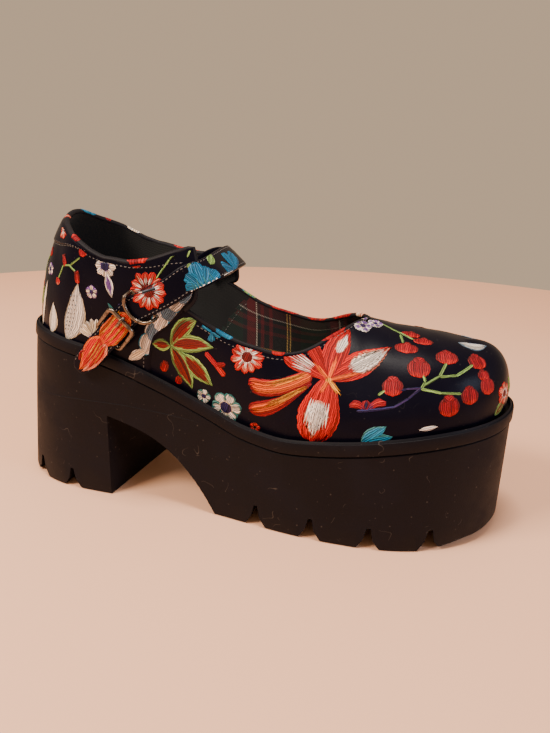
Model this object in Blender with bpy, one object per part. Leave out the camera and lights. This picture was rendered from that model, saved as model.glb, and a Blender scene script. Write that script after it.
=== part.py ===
"""Platform shoe for the right foot: moulded cleated sole, hollow upper, strap and buckle.

Units are metres. +X runs from heel to toe, +Y to the inner side of the foot and +Z up.
The origin is on the floor, in the middle of the flat tread of the heel.
Shapes are worked out with x measured from the back of the heel at the floor, and the
finished pieces are moved back by TREAD_CENTRE at the end.
"""

import math

import bmesh
import bpy
from mathutils import Matrix, Vector

# Driving dimensions of the sole
SOLE_LENGTH = 0.270
BALL_WIDTH = 0.0945
HEEL_HEIGHT = 0.0895
HEEL_FLARE = 0.0115
SIDE_FLARE = 0.0022
HEEL_CAP = 0.038
TOE_CAP_OUTER = 0.072
TOE_CAP_INNER = 0.064
TOE_SHIFT = 0.005
HEEL_LENGTH = 0.0640
BREAST_SLANT = 0.014
ARCH_HEIGHT = 0.0465
PLATFORM_START = 0.1275
BAND_HEIGHT = 0.0068
BAND_STEP = 0.0008
BEAD_INSET = 0.0016
LIP_WIDTH = 0.0021
SEAT_DEPTH = 0.0030
TOE_CHAMFER = 0.0055
HEEL_CHAMFER = 0.0028
SIDE_CHAMFER = 0.0008
LUG_PITCH = 0.0285
LUG_GAP = 0.0115
NOTCH_HEIGHT = 0.0115
NOTCH_DEPTH = 0.027
HEEL_LUG_PITCH = 0.0240
FIRST_HEEL_NOTCH = 0.0185

# Driving dimensions of the upper
UPPER_RISE = 0.100
WALL = 0.0020
QUARTER_STEP = 0.0010
FEATHER_INSET = 0.0040
ANKLE_BACK = 0.070
ANKLE_SOFTNESS = 0.030
TOE_FAN = 0.065
TOE_SETBACK = 0.0285
INSOLE_THICKNESS = 0.0026

# Driving dimensions of the strap and the buckle
STRAP_WIDTH = 0.0146
STRAP_THICKNESS = 0.0020
STRAP_HOLE = 0.0026
FRAME_WIRE = 0.0022
FRAME_LENGTH = 0.0198
LOOP_WIRE = 0.0018
LOOP_REACH = 0.0070
LOOP_SWING = math.radians(20)
PRONG_WIRE = 0.0013
TAB_THICKNESS = 0.0009
TAB_LENGTH = 0.007

CLEARANCE = 0.0003
TREAD_CENTRE = HEEL_LENGTH / 2

# Half widths of the sole's rim: station as a share of SOLE_LENGTH, then the
# outer and inner half width as shares of BALL_WIDTH
RIM_WIDTHS = [
    (0.045, 0.355, 0.355),
    (0.150, 0.372, 0.372),
    (0.240, 0.384, 0.378),
    (0.340, 0.385, 0.362),
    (0.450, 0.408, 0.372),
    (0.540, 0.448, 0.405),
    (0.620, 0.484, 0.442),
    (0.700, 0.500, 0.468),
    (0.760, 0.500, 0.474),
    (1.000, 0.500, 0.474),
]

# Height of the rim: station as a share of SOLE_LENGTH, height as a share of HEEL_HEIGHT
RIM_HEIGHTS = [
    (0.045, 1.000),
    (0.110, 0.985),
    (0.180, 0.952),
    (0.240, 0.912),
    (0.350, 0.797),
    (0.450, 0.680),
    (0.530, 0.592),
    (0.600, 0.565),
    (0.700, 0.596),
    (0.800, 0.645),
    (0.890, 0.685),
    (1.000, 0.715),
]

# Ridge of the last above the rim: station as a share of SOLE_LENGTH, rise as a share of UPPER_RISE
RIDGE_RISES = [
    (0.259, 0.995),
    (0.333, 1.045),
    (0.400, 1.000),
    (0.452, 0.872),
    (0.496, 0.745),
    (0.556, 0.645),
    (0.622, 0.578),
    (0.674, 0.528),
    (0.722, 0.478),
    (0.785, 0.415),
    (0.837, 0.376),
    (0.896, 0.333),
]

# Section of the last at each station: share of the height where the side wall turns in, share
# of the half width where the crown levels out, drop of that point as a share of the height,
# and the swell of the wall as a share of BALL_WIDTH
SECTIONS = [
    (0.043, 0.25, 0.81, 0.286, -0.010),
    (0.111, 0.30, 0.80, 0.200, -0.016),
    (0.185, 0.38, 0.92, 0.080, 0.010),
    (0.278, 0.45, 1.08, 0.000, 0.037),
    (0.370, 0.48, 1.08, 0.000, 0.048),
    (0.463, 0.50, 1.02, 0.000, 0.058),
    (0.556, 0.52, 0.95, 0.000, 0.053),
    (0.622, 0.52, 0.66, 0.000, 0.037),
    (0.674, 0.50, 0.46, 0.000, 0.026),
    (0.741, 0.50, 0.50, 0.000, 0.021),
    (0.870, 0.60, 0.60, 0.000, 0.026),
    (1.000, 0.68, 0.72, 0.000, 0.026),
]

# Top line of the quarter: station, share of the way from rim to ridge on the outer side
# and on the inner side
COLLAR_LINE = [
    (0.043, 0.640, 0.640),
    (0.070, 0.598, 0.595),
    (0.117, 0.535, 0.528),
    (0.197, 0.427, 0.415),
    (0.229, 0.389, 0.377),
    (0.261, 0.369, 0.358),
    (0.297, 0.374, 0.356),
    (0.336, 0.407, 0.368),
    (0.364, 0.452, 0.390),
    (0.392, 0.515, 0.432),
    (0.418, 0.605, 0.505),
]

# Top line of the vamp, from the quarter to the throat: station, share of the way to the ridge
VAMP_LINE = [
    (0.412, 0.332),
    (0.447, 0.355),
    (0.480, 0.385),
    (0.507, 0.412),
    (0.547, 0.448),
    (0.590, 0.476),
    (0.617, 0.508),
    (0.643, 0.572),
    (0.670, 0.680),
    (0.688, 0.768),
    (0.704, 0.880),
    (0.714, 0.950),
]
THROAT = 0.720

# Front edge of the quarter: share of the way to the ridge, station
FRONT_EDGE = [
    (0.000, 0.337),
    (0.056, 0.340),
    (0.154, 0.353),
    (0.234, 0.385),
    (0.332, 0.412),
    (0.433, 0.430),
    (0.520, 0.430),
    (0.605, 0.418),
]

# Strap inside the inner quarter: station, share of the way to the ridge
STRAP_ROOT = [
    (0.360, 0.325),
    (0.383, 0.385),
    (0.403, 0.435),
]
# Strap over the instep: station, share of BALL_WIDTH across, rise above the rim as a share of
# UPPER_RISE, forward tilt of the strap's face in degrees, outward turn of its face in degrees
STRAP_BRIDGE = [
    (0.424, 0.258, 0.579, 16.0, 66.0),
    (0.443, 0.190, 0.630, 36.0, 40.0),
    (0.455, 0.085, 0.662, 44.0, 12.0),
    (0.458, -0.042, 0.672, 46.0, -4.0),
    (0.459, -0.169, 0.670, 44.0, -18.0),
    (0.457, -0.283, 0.662, 36.0, -34.0),
    (0.446, -0.362, 0.638, 20.0, -62.0),
]
# Strap on the outer quarter: station, share of the way to the ridge, lift above the quarter as
# a share of the strap's own height off the leather at the buckle
STRAP_WALL = [
    (0.4190, 0.470, 0.80),
    (0.3920, 0.372, 0.90),
    (0.3583, 0.297, 1.25),
    (0.3174, 0.223, 1.55),
    (0.2863, 0.143, 2.05),
    (0.2591, 0.080, 2.25),
    (0.2346, 0.017, 2.20),
    (0.1985, -0.087, 2.10),
]
BUCKLE_LIFT = CLEARANCE * 2 + LOOP_WIRE
FRAME_CENTRE = 0.8235
LOOP_CENTRE = 0.7306
TAB_LOOK = 0.894

HEEL_COLUMNS = 20
THROAT_COLUMNS = 16
TOE_COLUMNS = 12
SEAM_ROWS = 12
COLLAR_ROWS = 5
RING_COLUMNS = 76
STRAP_SECTIONS = 44


def read(rows, x, column=1):
    """Smooth, overshoot-free reading of one column of a table at x."""
    xs = [row[0] for row in rows]
    ys = [row[column] for row in rows]
    if x <= xs[0]:
        return ys[0]
    if x >= xs[-1]:
        return ys[-1]
    chords = [(ys[i + 1] - ys[i]) / (xs[i + 1] - xs[i]) for i in range(len(xs) - 1)]
    slopes = [chords[0]]
    for before, after in zip(chords, chords[1:]):
        level = before * after <= 0
        slopes.append(0.0 if level else 2 * before * after / (before + after))
    slopes.append(chords[-1])
    i = max(k for k in range(len(chords)) if xs[k] <= x)
    step = xs[i + 1] - xs[i]
    s = (x - xs[i]) / step
    start = (1 + 2 * s) * (1 - s) ** 2 * ys[i] + s * (1 - s) ** 2 * step * slopes[i]
    end = s * s * (3 - 2 * s) * ys[i + 1] + s * s * (s - 1) * step * slopes[i + 1]
    return start + end


def plan(turn):
    """Rim outline seen from above: turn 0 is the back, pi the toe, the outer side between."""
    turn = turn % (2 * math.pi)
    side = -1.0 if turn <= math.pi else 1.0
    x = HEEL_FLARE + (SOLE_LENGTH - HEEL_FLARE) * (1 - math.cos(turn)) / 2
    half = BALL_WIDTH * read(RIM_WIDTHS, x / SOLE_LENGTH, 1 if side < 0 else 2)
    heel = min(1.0, (x - HEEL_FLARE) / HEEL_CAP)
    toe_cap = TOE_CAP_OUTER if side < 0 else TOE_CAP_INNER
    toe = min(1.0, (SOLE_LENGTH - x) / toe_cap)
    shift = TOE_SHIFT * max(0.0, 1 - (1 - x / SOLE_LENGTH) / 0.4) ** 2
    half = (half * math.sqrt(max(0.0, heel * (2 - heel))) - side * shift) * math.sqrt(max(0.0, toe * (2 - toe)))
    return x, side * half + shift


def turn_at(x):
    """Turn of the outer side at a distance x from the back."""
    share = (x - HEEL_FLARE) / (SOLE_LENGTH - HEEL_FLARE)
    return math.acos(max(-1.0, min(1.0, 1 - 2 * share)))


def inset(turn, distance):
    """Rim outline moved inwards by a distance."""
    step = 0.002
    x0, y0 = plan(turn - step)
    x1, y1 = plan(turn + step)
    run = math.hypot(x1 - x0, y1 - y0)
    x, y = plan(turn)
    return x - (y1 - y0) / run * distance, y + (x1 - x0) / run * distance


def rim_height(x):
    return HEEL_HEIGHT * read(RIM_HEIGHTS, x / SOLE_LENGTH)


def ridge_x(x):
    """Distance along the ridge that a section of the last leans towards."""
    past = x - ANKLE_BACK
    along = ANKLE_BACK + (past + math.hypot(past, ANKLE_SOFTNESS)) / 2
    over = max(0.0, x - SOLE_LENGTH + TOE_FAN)
    return along - TOE_SETBACK * (over / TOE_FAN) ** 2


def ridge_height(x):
    return rim_height(x) + UPPER_RISE * read(RIDGE_RISES, x / SOLE_LENGTH)


def skin(turn, share):
    """Point of the last's surface, on the way from the rim (0) to the ridge (1)."""
    x = plan(turn)[0]
    station = x / SOLE_LENGTH
    base = inset(turn, FEATHER_INSET)
    foot = Vector((base[0], base[1], rim_height(x) - SEAT_DEPTH + CLEARANCE))
    crown_x = ridge_x(x)
    top = Vector((crown_x, 0, ridge_height(crown_x)))
    rise = top.z - foot.z
    outward = Vector((foot.x - top.x, foot.y, 0))
    reach = outward.length
    outward.normalize()
    wall = read(SECTIONS, station, 1)
    crown = read(SECTIONS, station, 2)
    drop = read(SECTIONS, station, 3)
    swell = read(SECTIONS, station, 4)
    step = 0.001
    slope = (ridge_height(crown_x + step) - ridge_height(crown_x - step)) / (2 * step)
    fan = min(1.0, max(0.0, (station - 0.74) / 0.15))
    lower = foot + Vector((0, 0, wall * rise)) + outward * swell * BALL_WIDTH
    upper = top + outward * crown * reach
    upper.z += fan * slope * outward.x * crown * reach - drop * rise
    rest = 1 - share
    return (rest ** 3 * foot + 3 * rest * rest * share * lower
            + 3 * rest * share * share * upper + share ** 3 * top)


def skin_normal(turn, share):
    """Outward direction of the last's surface."""
    share = min(share, 0.985)
    step = 0.004
    along = skin(turn + step, share) - skin(turn - step, share)
    up = skin(turn, share + step) - skin(turn, share - step)
    return along.cross(up).normalized()


def skin_point(turn, share, lift):
    return skin(turn, share) + skin_normal(turn, share) * lift


def principled(name, color, roughness, metallic=0.0):
    material = bpy.data.materials.new(name)
    material.use_nodes = True
    shader = material.node_tree.nodes["Principled BSDF"]
    shader.inputs["Base Color"].default_value = (*color, 1.0)
    shader.inputs["Roughness"].default_value = roughness
    shader.inputs["Metallic"].default_value = metallic
    return material


def new_collection(name):
    collection = bpy.data.collections.new(name)
    bpy.context.scene.collection.children.link(collection)
    return collection


def add_object(name, data, collection, material=None):
    thing = bpy.data.objects.new(name, data)
    collection.objects.link(thing)
    if material:
        data.materials.append(material)
    return thing


def mesh_object(name, shape, collection, material=None, sharp=40.0):
    """Object from a bmesh, with its faces turned outwards."""
    bmesh.ops.recalc_face_normals(shape, faces=shape.faces)
    mesh = bpy.data.meshes.new(name)
    shape.to_mesh(mesh)
    shape.free()
    mesh.shade_smooth()
    mesh.set_sharp_from_angle(angle=math.radians(sharp))
    return add_object(name, mesh, collection, material)


def strip(shape, first, second, closed=False):
    """Band of quads between two rows of vertices, triangles where they share one."""
    count = len(first)
    last = count if closed else count - 1
    for i in range(last):
        k = (i + 1) % count
        corners = []
        for vertex in (first[i], first[k], second[k], second[i]):
            if vertex not in corners:
                corners.append(vertex)
        if len(corners) > 2:
            shape.faces.new(corners)


def ladder(shape, ring):
    """Closes a ring whose two sides mirror each other with rungs from side to side."""
    half = len(ring) // 2
    outer = ring[:half + 1]
    inner = [ring[0]] + ring[:half - 1:-1]
    strip(shape, outer, inner)


def sole_wall(turn, height, distance):
    """Point of the sole's side at a height, moved inwards by a distance, with the flare."""
    x, y = inset(turn, distance)
    top = rim_height(plan(turn)[0])
    flare = max(0.0, 1 - height / top) ** 0.85
    backness = max(0.0, 1 - (x - HEEL_FLARE) / (HEEL_CAP + FEATHER_INSET * 2))
    side = -1.0 if turn % (2 * math.pi) <= math.pi else 1.0
    spread = min(1.0, abs(y) / (BALL_WIDTH / 4))
    return Vector((x - HEEL_FLARE * backness * flare, y + side * SIDE_FLARE * spread * flare, height))


def chamfer_size(turn):
    x = plan(turn)[0] / SOLE_LENGTH
    toe = min(1.0, max(0.0, (x - 0.86) / 0.08))
    heel = min(1.0, max(0.0, (0.10 - x) / 0.06))
    return SIDE_CHAMFER + (TOE_CHAMFER - SIDE_CHAMFER) * toe + (HEEL_CHAMFER - SIDE_CHAMFER) * heel


def sole_block():
    """Sole before cutting: rings from the tread up the side, over the rim into the seat."""
    shape = bmesh.new()
    rings = []
    turns = [2 * math.pi * i / RING_COLUMNS for i in range(RING_COLUMNS)]

    def ring(height, distance):
        points = [sole_wall(turn, height(turn), distance(turn)) for turn in turns]
        rings.append([shape.verts.new(point) for point in points])

    def top(turn):
        return rim_height(plan(turn)[0])

    lip = BAND_STEP
    ring(lambda t: 0.0, lambda t: chamfer_size(t) + lip)
    ring(chamfer_size, lambda t: lip)
    ring(lambda t: 0.35 * top(t), lambda t: lip)
    ring(lambda t: 0.68 * top(t), lambda t: lip)
    ring(lambda t: top(t) - BAND_HEIGHT - lip / 2, lambda t: lip)
    ring(lambda t: top(t) - BAND_HEIGHT, lambda t: 0.0)
    ring(lambda t: top(t) - lip * 1.7, lambda t: 0.0)
    ring(lambda t: top(t) - lip, lambda t: lip / 2)
    ring(lambda t: top(t) - lip * 1.5, lambda t: (lip / 2 + BEAD_INSET) / 2)
    ring(lambda t: top(t), lambda t: BEAD_INSET)
    ring(lambda t: top(t) - lip / 2, lambda t: LIP_WIDTH)
    ring(lambda t: top(t) - SEAT_DEPTH, lambda t: LIP_WIDTH)
    for lower, upper in zip(rings, rings[1:]):
        strip(shape, lower, upper, closed=True)
    ladder(shape, rings[0])
    ladder(shape, rings[-1])
    return shape


def arch_cutter(collection):
    """Opening between heel and platform, with the breast of the heel slanted in plan."""
    shape = bmesh.new()
    reach = BALL_WIDTH
    rows = []
    for side in (-1, 1):
        start = HEEL_LENGTH + (BREAST_SLANT if side > 0 else 0.0) * 1.3
        start -= (BREAST_SLANT if side < 0 else 0.0) * 0.3
        span = PLATFORM_START - start
        points = [(start, -ARCH_HEIGHT / 2)]
        steps = 12
        for i in range(steps + 1):
            s = i / steps
            points.append((start + span * s, ARCH_HEIGHT * (1 - 0.35 * s - 0.65 * s ** 3)))
        points.append((PLATFORM_START, -ARCH_HEIGHT / 2))
        rows.append([shape.verts.new((x, side * reach, z)) for x, z in points])
    strip(shape, rows[0], rows[1], closed=True)
    for row in rows:
        shape.faces.new(row)
    cutter = mesh_object("arch_cutter", shape, collection)
    cutter.hide_render = True
    cutter.display_type = "WIRE"
    return cutter


def notch_cutter(name, x, side, collection):
    """Notch between two lugs: a narrow slit that widens to the floor, cut in from one side."""
    shape = bmesh.new()
    half = LUG_GAP / 2
    profile = [
        (-half * 1.15, -NOTCH_HEIGHT / 4),
        (-half, 0.0),
        (-half * 0.42, NOTCH_HEIGHT * 0.45),
        (-half * 0.16, NOTCH_HEIGHT),
        (half * 0.16, NOTCH_HEIGHT),
        (half * 0.36, NOTCH_HEIGHT * 0.45),
        (half, 0.0),
        (half * 1.15, -NOTCH_HEIGHT / 4),
    ]
    near = BALL_WIDTH / 2 - NOTCH_DEPTH
    rows = []
    for y in (near, BALL_WIDTH):
        rows.append([shape.verts.new((x + dx, side * y, z)) for dx, z in profile])
    strip(shape, rows[0], rows[1], closed=True)
    for row in rows:
        shape.faces.new(row)
    cutter = mesh_object(name, shape, collection)
    cutter.hide_render = True
    cutter.display_type = "WIRE"
    return cutter


def cut(target, cutter):
    modifier = target.modifiers.new(cutter.name, "BOOLEAN")
    modifier.operation = "DIFFERENCE"
    modifier.solver = "EXACT"
    modifier.object = cutter


def make_outsole(parts, cutters, material):
    outsole = mesh_object("outsole", sole_block(), parts, material)
    cut(outsole, arch_cutter(cutters))
    notches = [FIRST_HEEL_NOTCH, FIRST_HEEL_NOTCH + HEEL_LUG_PITCH]
    x = PLATFORM_START + LUG_PITCH - LUG_GAP / 2
    while x < SOLE_LENGTH - LUG_PITCH:
        notches.append(x)
        x += LUG_PITCH
    for i, x in enumerate(notches):
        for side in (-1, 1):
            label = "outer" if side < 0 else "inner"
            cut(outsole, notch_cutter(f"notch_{label}_{i + 1}", x, side, cutters))
    return outsole


def make_insole(parts, material):
    shape = bmesh.new()
    distance = FEATHER_INSET + WALL + CLEARANCE * 2
    turns = [2 * math.pi * i / RING_COLUMNS for i in range(RING_COLUMNS)]
    rings = []
    for level in (CLEARANCE * 2, CLEARANCE * 2 + INSOLE_THICKNESS):
        ring = []
        for turn in turns:
            x, y = inset(turn, distance)
            floor = rim_height(plan(turn)[0]) - SEAT_DEPTH
            ring.append(shape.verts.new((x, y, floor + level)))
        rings.append(ring)
    strip(shape, rings[0], rings[1], closed=True)
    ladder(shape, rings[0])
    ladder(shape, rings[1])
    return mesh_object("insole", shape, parts, material)


def edge_turn(share):
    """Turn of the quarter's front edge on the outer side."""
    return turn_at(SOLE_LENGTH * read(FRONT_EDGE, share))


def seam_shares():
    """Rows of the front edge: up to the vamp's corner, then up the free edge."""
    corner = VAMP_LINE[0][1]
    top = FRONT_EDGE[-1][0]
    rows = [corner * k / SEAM_ROWS for k in range(SEAM_ROWS + 1)]
    rows += [corner + (top - corner) * k / COLLAR_ROWS for k in range(1, COLLAR_ROWS + 1)]
    return rows


def quarter_columns():
    """Columns of (turn, share) around the heel, from the outer front edge to the inner one."""
    rows = seam_shares()
    corner = rows[SEAM_ROWS]
    foot = edge_turn(0.0)
    columns = []
    for i in range(-HEEL_COLUMNS, HEEL_COLUMNS + 1):
        across = abs(i) / HEEL_COLUMNS
        lean = across ** 2
        side = -1.0 if i > 0 else 1.0
        head = foot * across + lean * (edge_turn(rows[-1]) - foot)
        top = read(COLLAR_LINE, plan(head)[0] / SOLE_LENGTH, 1 if side > 0 else 2)
        knee = corner * (lean + (1 - lean) * top / rows[-1])
        column = []
        for k, share in enumerate(rows):
            turn = foot * across + lean * (edge_turn(share) - foot)
            level = knee * k / SEAM_ROWS
            if k > SEAM_ROWS:
                level = knee + (top - knee) * (k - SEAM_ROWS) / COLLAR_ROWS
            column.append((side * turn, level))
        columns.append(column)
    return columns


def vamp_columns():
    """Columns of (turn, share) from the outer front edge round the toe to the inner one."""
    rows = seam_shares()[:SEAM_ROWS + 1]
    foot = edge_turn(0.0)
    throat = THROAT * SOLE_LENGTH
    start = SOLE_LENGTH * FRONT_EDGE[0][1]
    outer = []
    for i in range(THROAT_COLUMNS + 1):
        away = 1 - (1 - i / THROAT_COLUMNS) ** 1.5
        x = start + (throat - start) * away
        lean = (1 - i / THROAT_COLUMNS) ** 2
        head = turn_at(x) + lean * (edge_turn(rows[-1]) - foot)
        top = read(VAMP_LINE + [(THROAT, 1.0)], plan(head)[0] / SOLE_LENGTH)
        outer.append([(turn_at(x) + lean * (edge_turn(s) - foot), s / rows[-1] * top) for s in rows])
    for i in range(1, TOE_COLUMNS + 1):
        turn = turn_at(throat) + (math.pi - turn_at(throat)) * i / TOE_COLUMNS
        outer.append([(turn, share / rows[-1]) for share in rows])
    inner = [[(2 * math.pi - turn, share) for turn, share in column] for column in outer[-2::-1]]
    return outer + inner


def make_upper(parts, material):
    """Hollow upper: the quarter stands one leather thickness proud of the vamp."""
    shape = bmesh.new()
    quarter = quarter_columns()
    vamp = vamp_columns()
    throat = THROAT_COLUMNS
    mirror = len(vamp) - 1

    def points(columns, lift):
        return [[shape.verts.new(skin_point(turn, share, lift)) for turn, share in column]
                for column in columns]

    def close_ridge(grid):
        """Outer and inner side share their vertices along the ridge."""
        for j in range(throat, mirror // 2):
            kept = grid[j][-1]
            spare = grid[mirror - j][-1]
            kept.co.y = 0.0
            shape.verts.remove(spare)
            grid[mirror - j][-1] = kept

    outer_quarter = points(quarter, QUARTER_STEP)
    outer_vamp = points(vamp, 0.0)
    inner_quarter = points(quarter, -WALL)
    inner_vamp = points(vamp, -WALL)
    close_ridge(outer_vamp)
    close_ridge(inner_vamp)
    seams = ((outer_quarter[0], inner_quarter[0], outer_vamp[0], inner_vamp[0]),
             (outer_quarter[-1], inner_quarter[-1], outer_vamp[-1], inner_vamp[-1]))
    for step_column, lining_column, vamp_column, vamp_lining in seams:
        for k in range(SEAM_ROWS + 1):
            spare = vamp_lining[k]
            vamp_lining[k] = lining_column[k]
            shape.verts.remove(spare)
        strip(shape, step_column[:SEAM_ROWS + 1], vamp_column)
        shape.faces.new((step_column[0], vamp_column[0], lining_column[0]))
        shape.faces.new((step_column[SEAM_ROWS], vamp_column[-1], lining_column[SEAM_ROWS]))
        strip(shape, step_column[SEAM_ROWS:], lining_column[SEAM_ROWS:])
    for grid in (outer_quarter, outer_vamp, inner_quarter, inner_vamp):
        for left, right in zip(grid, grid[1:]):
            strip(shape, left, right)
    for outside, inside in ((outer_quarter, inner_quarter), (outer_vamp, inner_vamp)):
        strip(shape, [column[0] for column in outside], [column[0] for column in inside])
    strip(shape, [column[-1] for column in outer_quarter], [column[-1] for column in inner_quarter])
    for span in (slice(0, throat + 1), slice(mirror - throat, None)):
        strip(shape, [column[-1] for column in outer_vamp[span]],
              [column[-1] for column in inner_vamp[span]])
    return mesh_object("upper", shape, parts, material, sharp=50.0)


def strap_stations():
    """Centre points of the strap and the way its face looks, from the inner root to the tip."""
    stations = []
    under = WALL + CLEARANCE * 6 + STRAP_THICKNESS / 2
    for station, share in STRAP_ROOT:
        turn = 2 * math.pi - turn_at(station * SOLE_LENGTH)
        stations.append((skin_point(turn, share, -under), skin_normal(turn, share)))
    for station, across, rise, tilt, roll in STRAP_BRIDGE:
        x = station * SOLE_LENGTH
        point = Vector((x, across * BALL_WIDTH, rim_height(x) + rise * UPPER_RISE))
        tilt = math.radians(tilt)
        roll = math.radians(roll)
        face = Vector((math.sin(tilt) * math.cos(roll), math.sin(roll), math.cos(tilt) * math.cos(roll)))
        stations.append((point, face))
    for station, share, lift in STRAP_WALL:
        turn = turn_at(station * SOLE_LENGTH)
        height = QUARTER_STEP + lift * BUCKLE_LIFT + STRAP_THICKNESS / 2
        face = skin_normal(turn, max(share, 0.05))
        stations.append((skin(turn, share) + face * height, face))
    return stations


def strap_frame(along):
    """Centre, run, width and face directions of the strap at a share of its length."""
    stations = strap_stations()
    count = len(stations) - 1
    place = min(max(along, 0.0), 1.0) * count
    i = min(int(place), count - 1)
    s = place - i

    def at(k, part):
        return stations[min(max(k, 0), count)][part]

    def blend(part, derivative=False):
        p0, p1, p2, p3 = (at(i + k, part) for k in (-1, 0, 1, 2))
        m1 = (p2 - p0) / 2
        m2 = (p3 - p1) / 2
        if derivative:
            return ((6 * s * s - 6 * s) * p1 + (3 * s * s - 4 * s + 1) * m1
                    + (6 * s - 6 * s * s) * p2 + (3 * s * s - 2 * s) * m2)
        return ((1 + 2 * s) * (1 - s) ** 2 * p1 + s * (1 - s) ** 2 * m1
                + s * s * (3 - 2 * s) * p2 + s * s * (s - 1) * m2)

    run = blend(0, derivative=True).normalized()
    face = blend(1).normalized()
    width = face.cross(run).normalized()
    face = run.cross(width).normalized()
    return blend(0), run, width, face


def strap_half_width(along):
    """Half of the strap's width, drawn in to a blunt point at its tip."""
    point = min(1.0, max(0.0, (along - 0.955) / 0.045))
    narrow = STRAP_WIDTH / 2 * (1 - 0.14 * min(1.0, along / FRAME_CENTRE))
    return narrow * (1 - 0.62 * point ** 2)


def make_strap(parts, cutters, material):
    shape = bmesh.new()
    rows = []
    for i in range(STRAP_SECTIONS + 1):
        along = i / STRAP_SECTIONS
        centre, run, width, face = strap_frame(along)
        half = strap_half_width(along)
        row = []
        for across, lift in ((-1, -1), (1, -1), (1, 1), (-1, 1)):
            row.append(shape.verts.new(centre + width * half * across + face * STRAP_THICKNESS / 2 * lift))
        rows.append(row)
    for first, second in zip(rows, rows[1:]):
        strip(shape, first, second, closed=True)
    shape.faces.new(rows[0])
    shape.faces.new(rows[-1])
    strap = mesh_object("strap", shape, parts, material)
    hole = bmesh.new()
    bmesh.ops.create_cone(hole, cap_ends=True, segments=16, radius1=STRAP_HOLE / 2,
                          radius2=STRAP_HOLE / 2, depth=STRAP_THICKNESS * 3)
    centre, run, width, face = prong_frame()
    turned = Matrix((run, width, face)).transposed().to_4x4()
    bmesh.ops.transform(hole, matrix=Matrix.Translation(centre) @ turned, verts=hole.verts)
    cutter = mesh_object("strap_hole_cutter", hole, cutters)
    cutter.hide_render = True
    cutter.display_type = "WIRE"
    cut(strap, cutter)
    return strap


def buckle_axes():
    """Centre of the frame and its directions: down the strap, across it and away from the foot.

    The frame tips so that its upper bar lies over the strap and its lower bar under it.
    """
    centre, run, width, face = strap_frame(FRAME_CENTRE)
    over = (STRAP_THICKNESS + FRAME_WIRE) / 2 + CLEARANCE * 2
    under = over + TAB_THICKNESS + CLEARANCE
    tip = math.asin((over + under) / (FRAME_LENGTH - FRAME_WIRE))
    turned = Matrix.Rotation(tip, 3, width)
    return centre + face * (over - under) / 2, turned @ run, width, turned @ face


def prong_frame():
    """Place of the strap's hole under the prong."""
    reach = FRAME_LENGTH / 2 - FRAME_WIRE - STRAP_HOLE * 2
    centre, run, width, face = strap_frame(FRAME_CENTRE)
    count = len(strap_stations()) - 1
    step = 1 / (count * 8)
    along = FRAME_CENTRE
    while (strap_frame(along)[0] - centre).length < reach:
        along -= step
    return strap_frame(along)


def wire(name, points, diameter, collection, material, cyclic=False, sides=3):
    """Round wire along points, capped at its ends unless it is a closed ring."""
    data = bpy.data.curves.new(name, "CURVE")
    data.dimensions = "3D"
    data.bevel_depth = diameter / 2
    data.bevel_resolution = sides
    data.use_fill_caps = True
    spline = data.splines.new("POLY")
    spline.points.add(len(points) - 1)
    for target, point in zip(spline.points, points):
        target.co = (*point, 1.0)
    spline.use_cyclic_u = cyclic
    return add_object(name, data, collection, material)


def make_frame(parts, material):
    """Rounded square frame of round wire."""
    centre, run, width, face = buckle_axes()
    half_run = (FRAME_LENGTH - FRAME_WIRE) / 2
    half_width = strap_half_width(FRAME_CENTRE) + CLEARANCE * 2 + FRAME_WIRE / 2
    corner = FRAME_WIRE
    points = []
    for quadrant, (a, b) in enumerate(((1, 1), (-1, 1), (-1, -1), (1, -1))):
        for k in range(5):
            angle = math.radians(90 * quadrant + 22.5 * k)
            u = a * (half_run - corner) + corner * math.cos(angle)
            v = b * (half_width - corner) + corner * math.sin(angle)
            points.append(centre + run * u + width * v)
    return wire("buckle_frame", points, FRAME_WIRE, parts, material, cyclic=True)


def make_prong(parts, material):
    """Short prong: hooked over the upper bar of the frame, its point in the strap's hole."""
    centre, run, width, face = buckle_axes()
    bar = centre - run * (FRAME_LENGTH - FRAME_WIRE) / 2
    hole, hole_run, hole_width, hole_face = prong_frame()
    radius = (FRAME_WIRE + PRONG_WIRE) / 2 + CLEARANCE
    rest = STRAP_THICKNESS / 2 + CLEARANCE + PRONG_WIRE / 2
    points = [hole - hole_face * STRAP_THICKNESS / 4, hole + hole_face * rest * 0.55]
    points.append(hole + hole_face * (rest + PRONG_WIRE / 2) - hole_run * PRONG_WIRE / 2)
    for k in range(7):
        angle = math.radians(35 + 24 * k)
        points.append(bar + (run * math.cos(angle) + face * math.sin(angle)) * radius)
    return wire("buckle_prong", points, PRONG_WIRE, parts, material, sides=2)


def make_loop(parts, material):
    """Keeper loop: a bow over the strap, bulging towards the frame, closed by a bar beneath."""
    centre, run, width, face = strap_frame(LOOP_CENTRE)
    swing = Matrix.Rotation(LOOP_SWING, 3, face)
    run = swing @ run
    width = swing @ width
    half = strap_half_width(LOOP_CENTRE) / math.cos(LOOP_SWING) + CLEARANCE * 4 + LOOP_WIRE / 2
    over = STRAP_THICKNESS / 2 + CLEARANCE * 2 + LOOP_WIRE / 2
    points = []
    for k in range(13):
        angle = math.pi * k / 12
        bow = math.sin(angle)
        rise = over * (1 - 2 * max(0.0, 1 - 3.2 * bow))
        points.append(centre + width * half * math.cos(angle) + run * LOOP_REACH * bow + face * rise)
    for across in (-0.5, 0.0, 0.5):
        points.append(centre + width * half * across - face * over)
    return wire("buckle_loop", points, LOOP_WIRE, parts, material, cyclic=True, sides=2)


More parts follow.
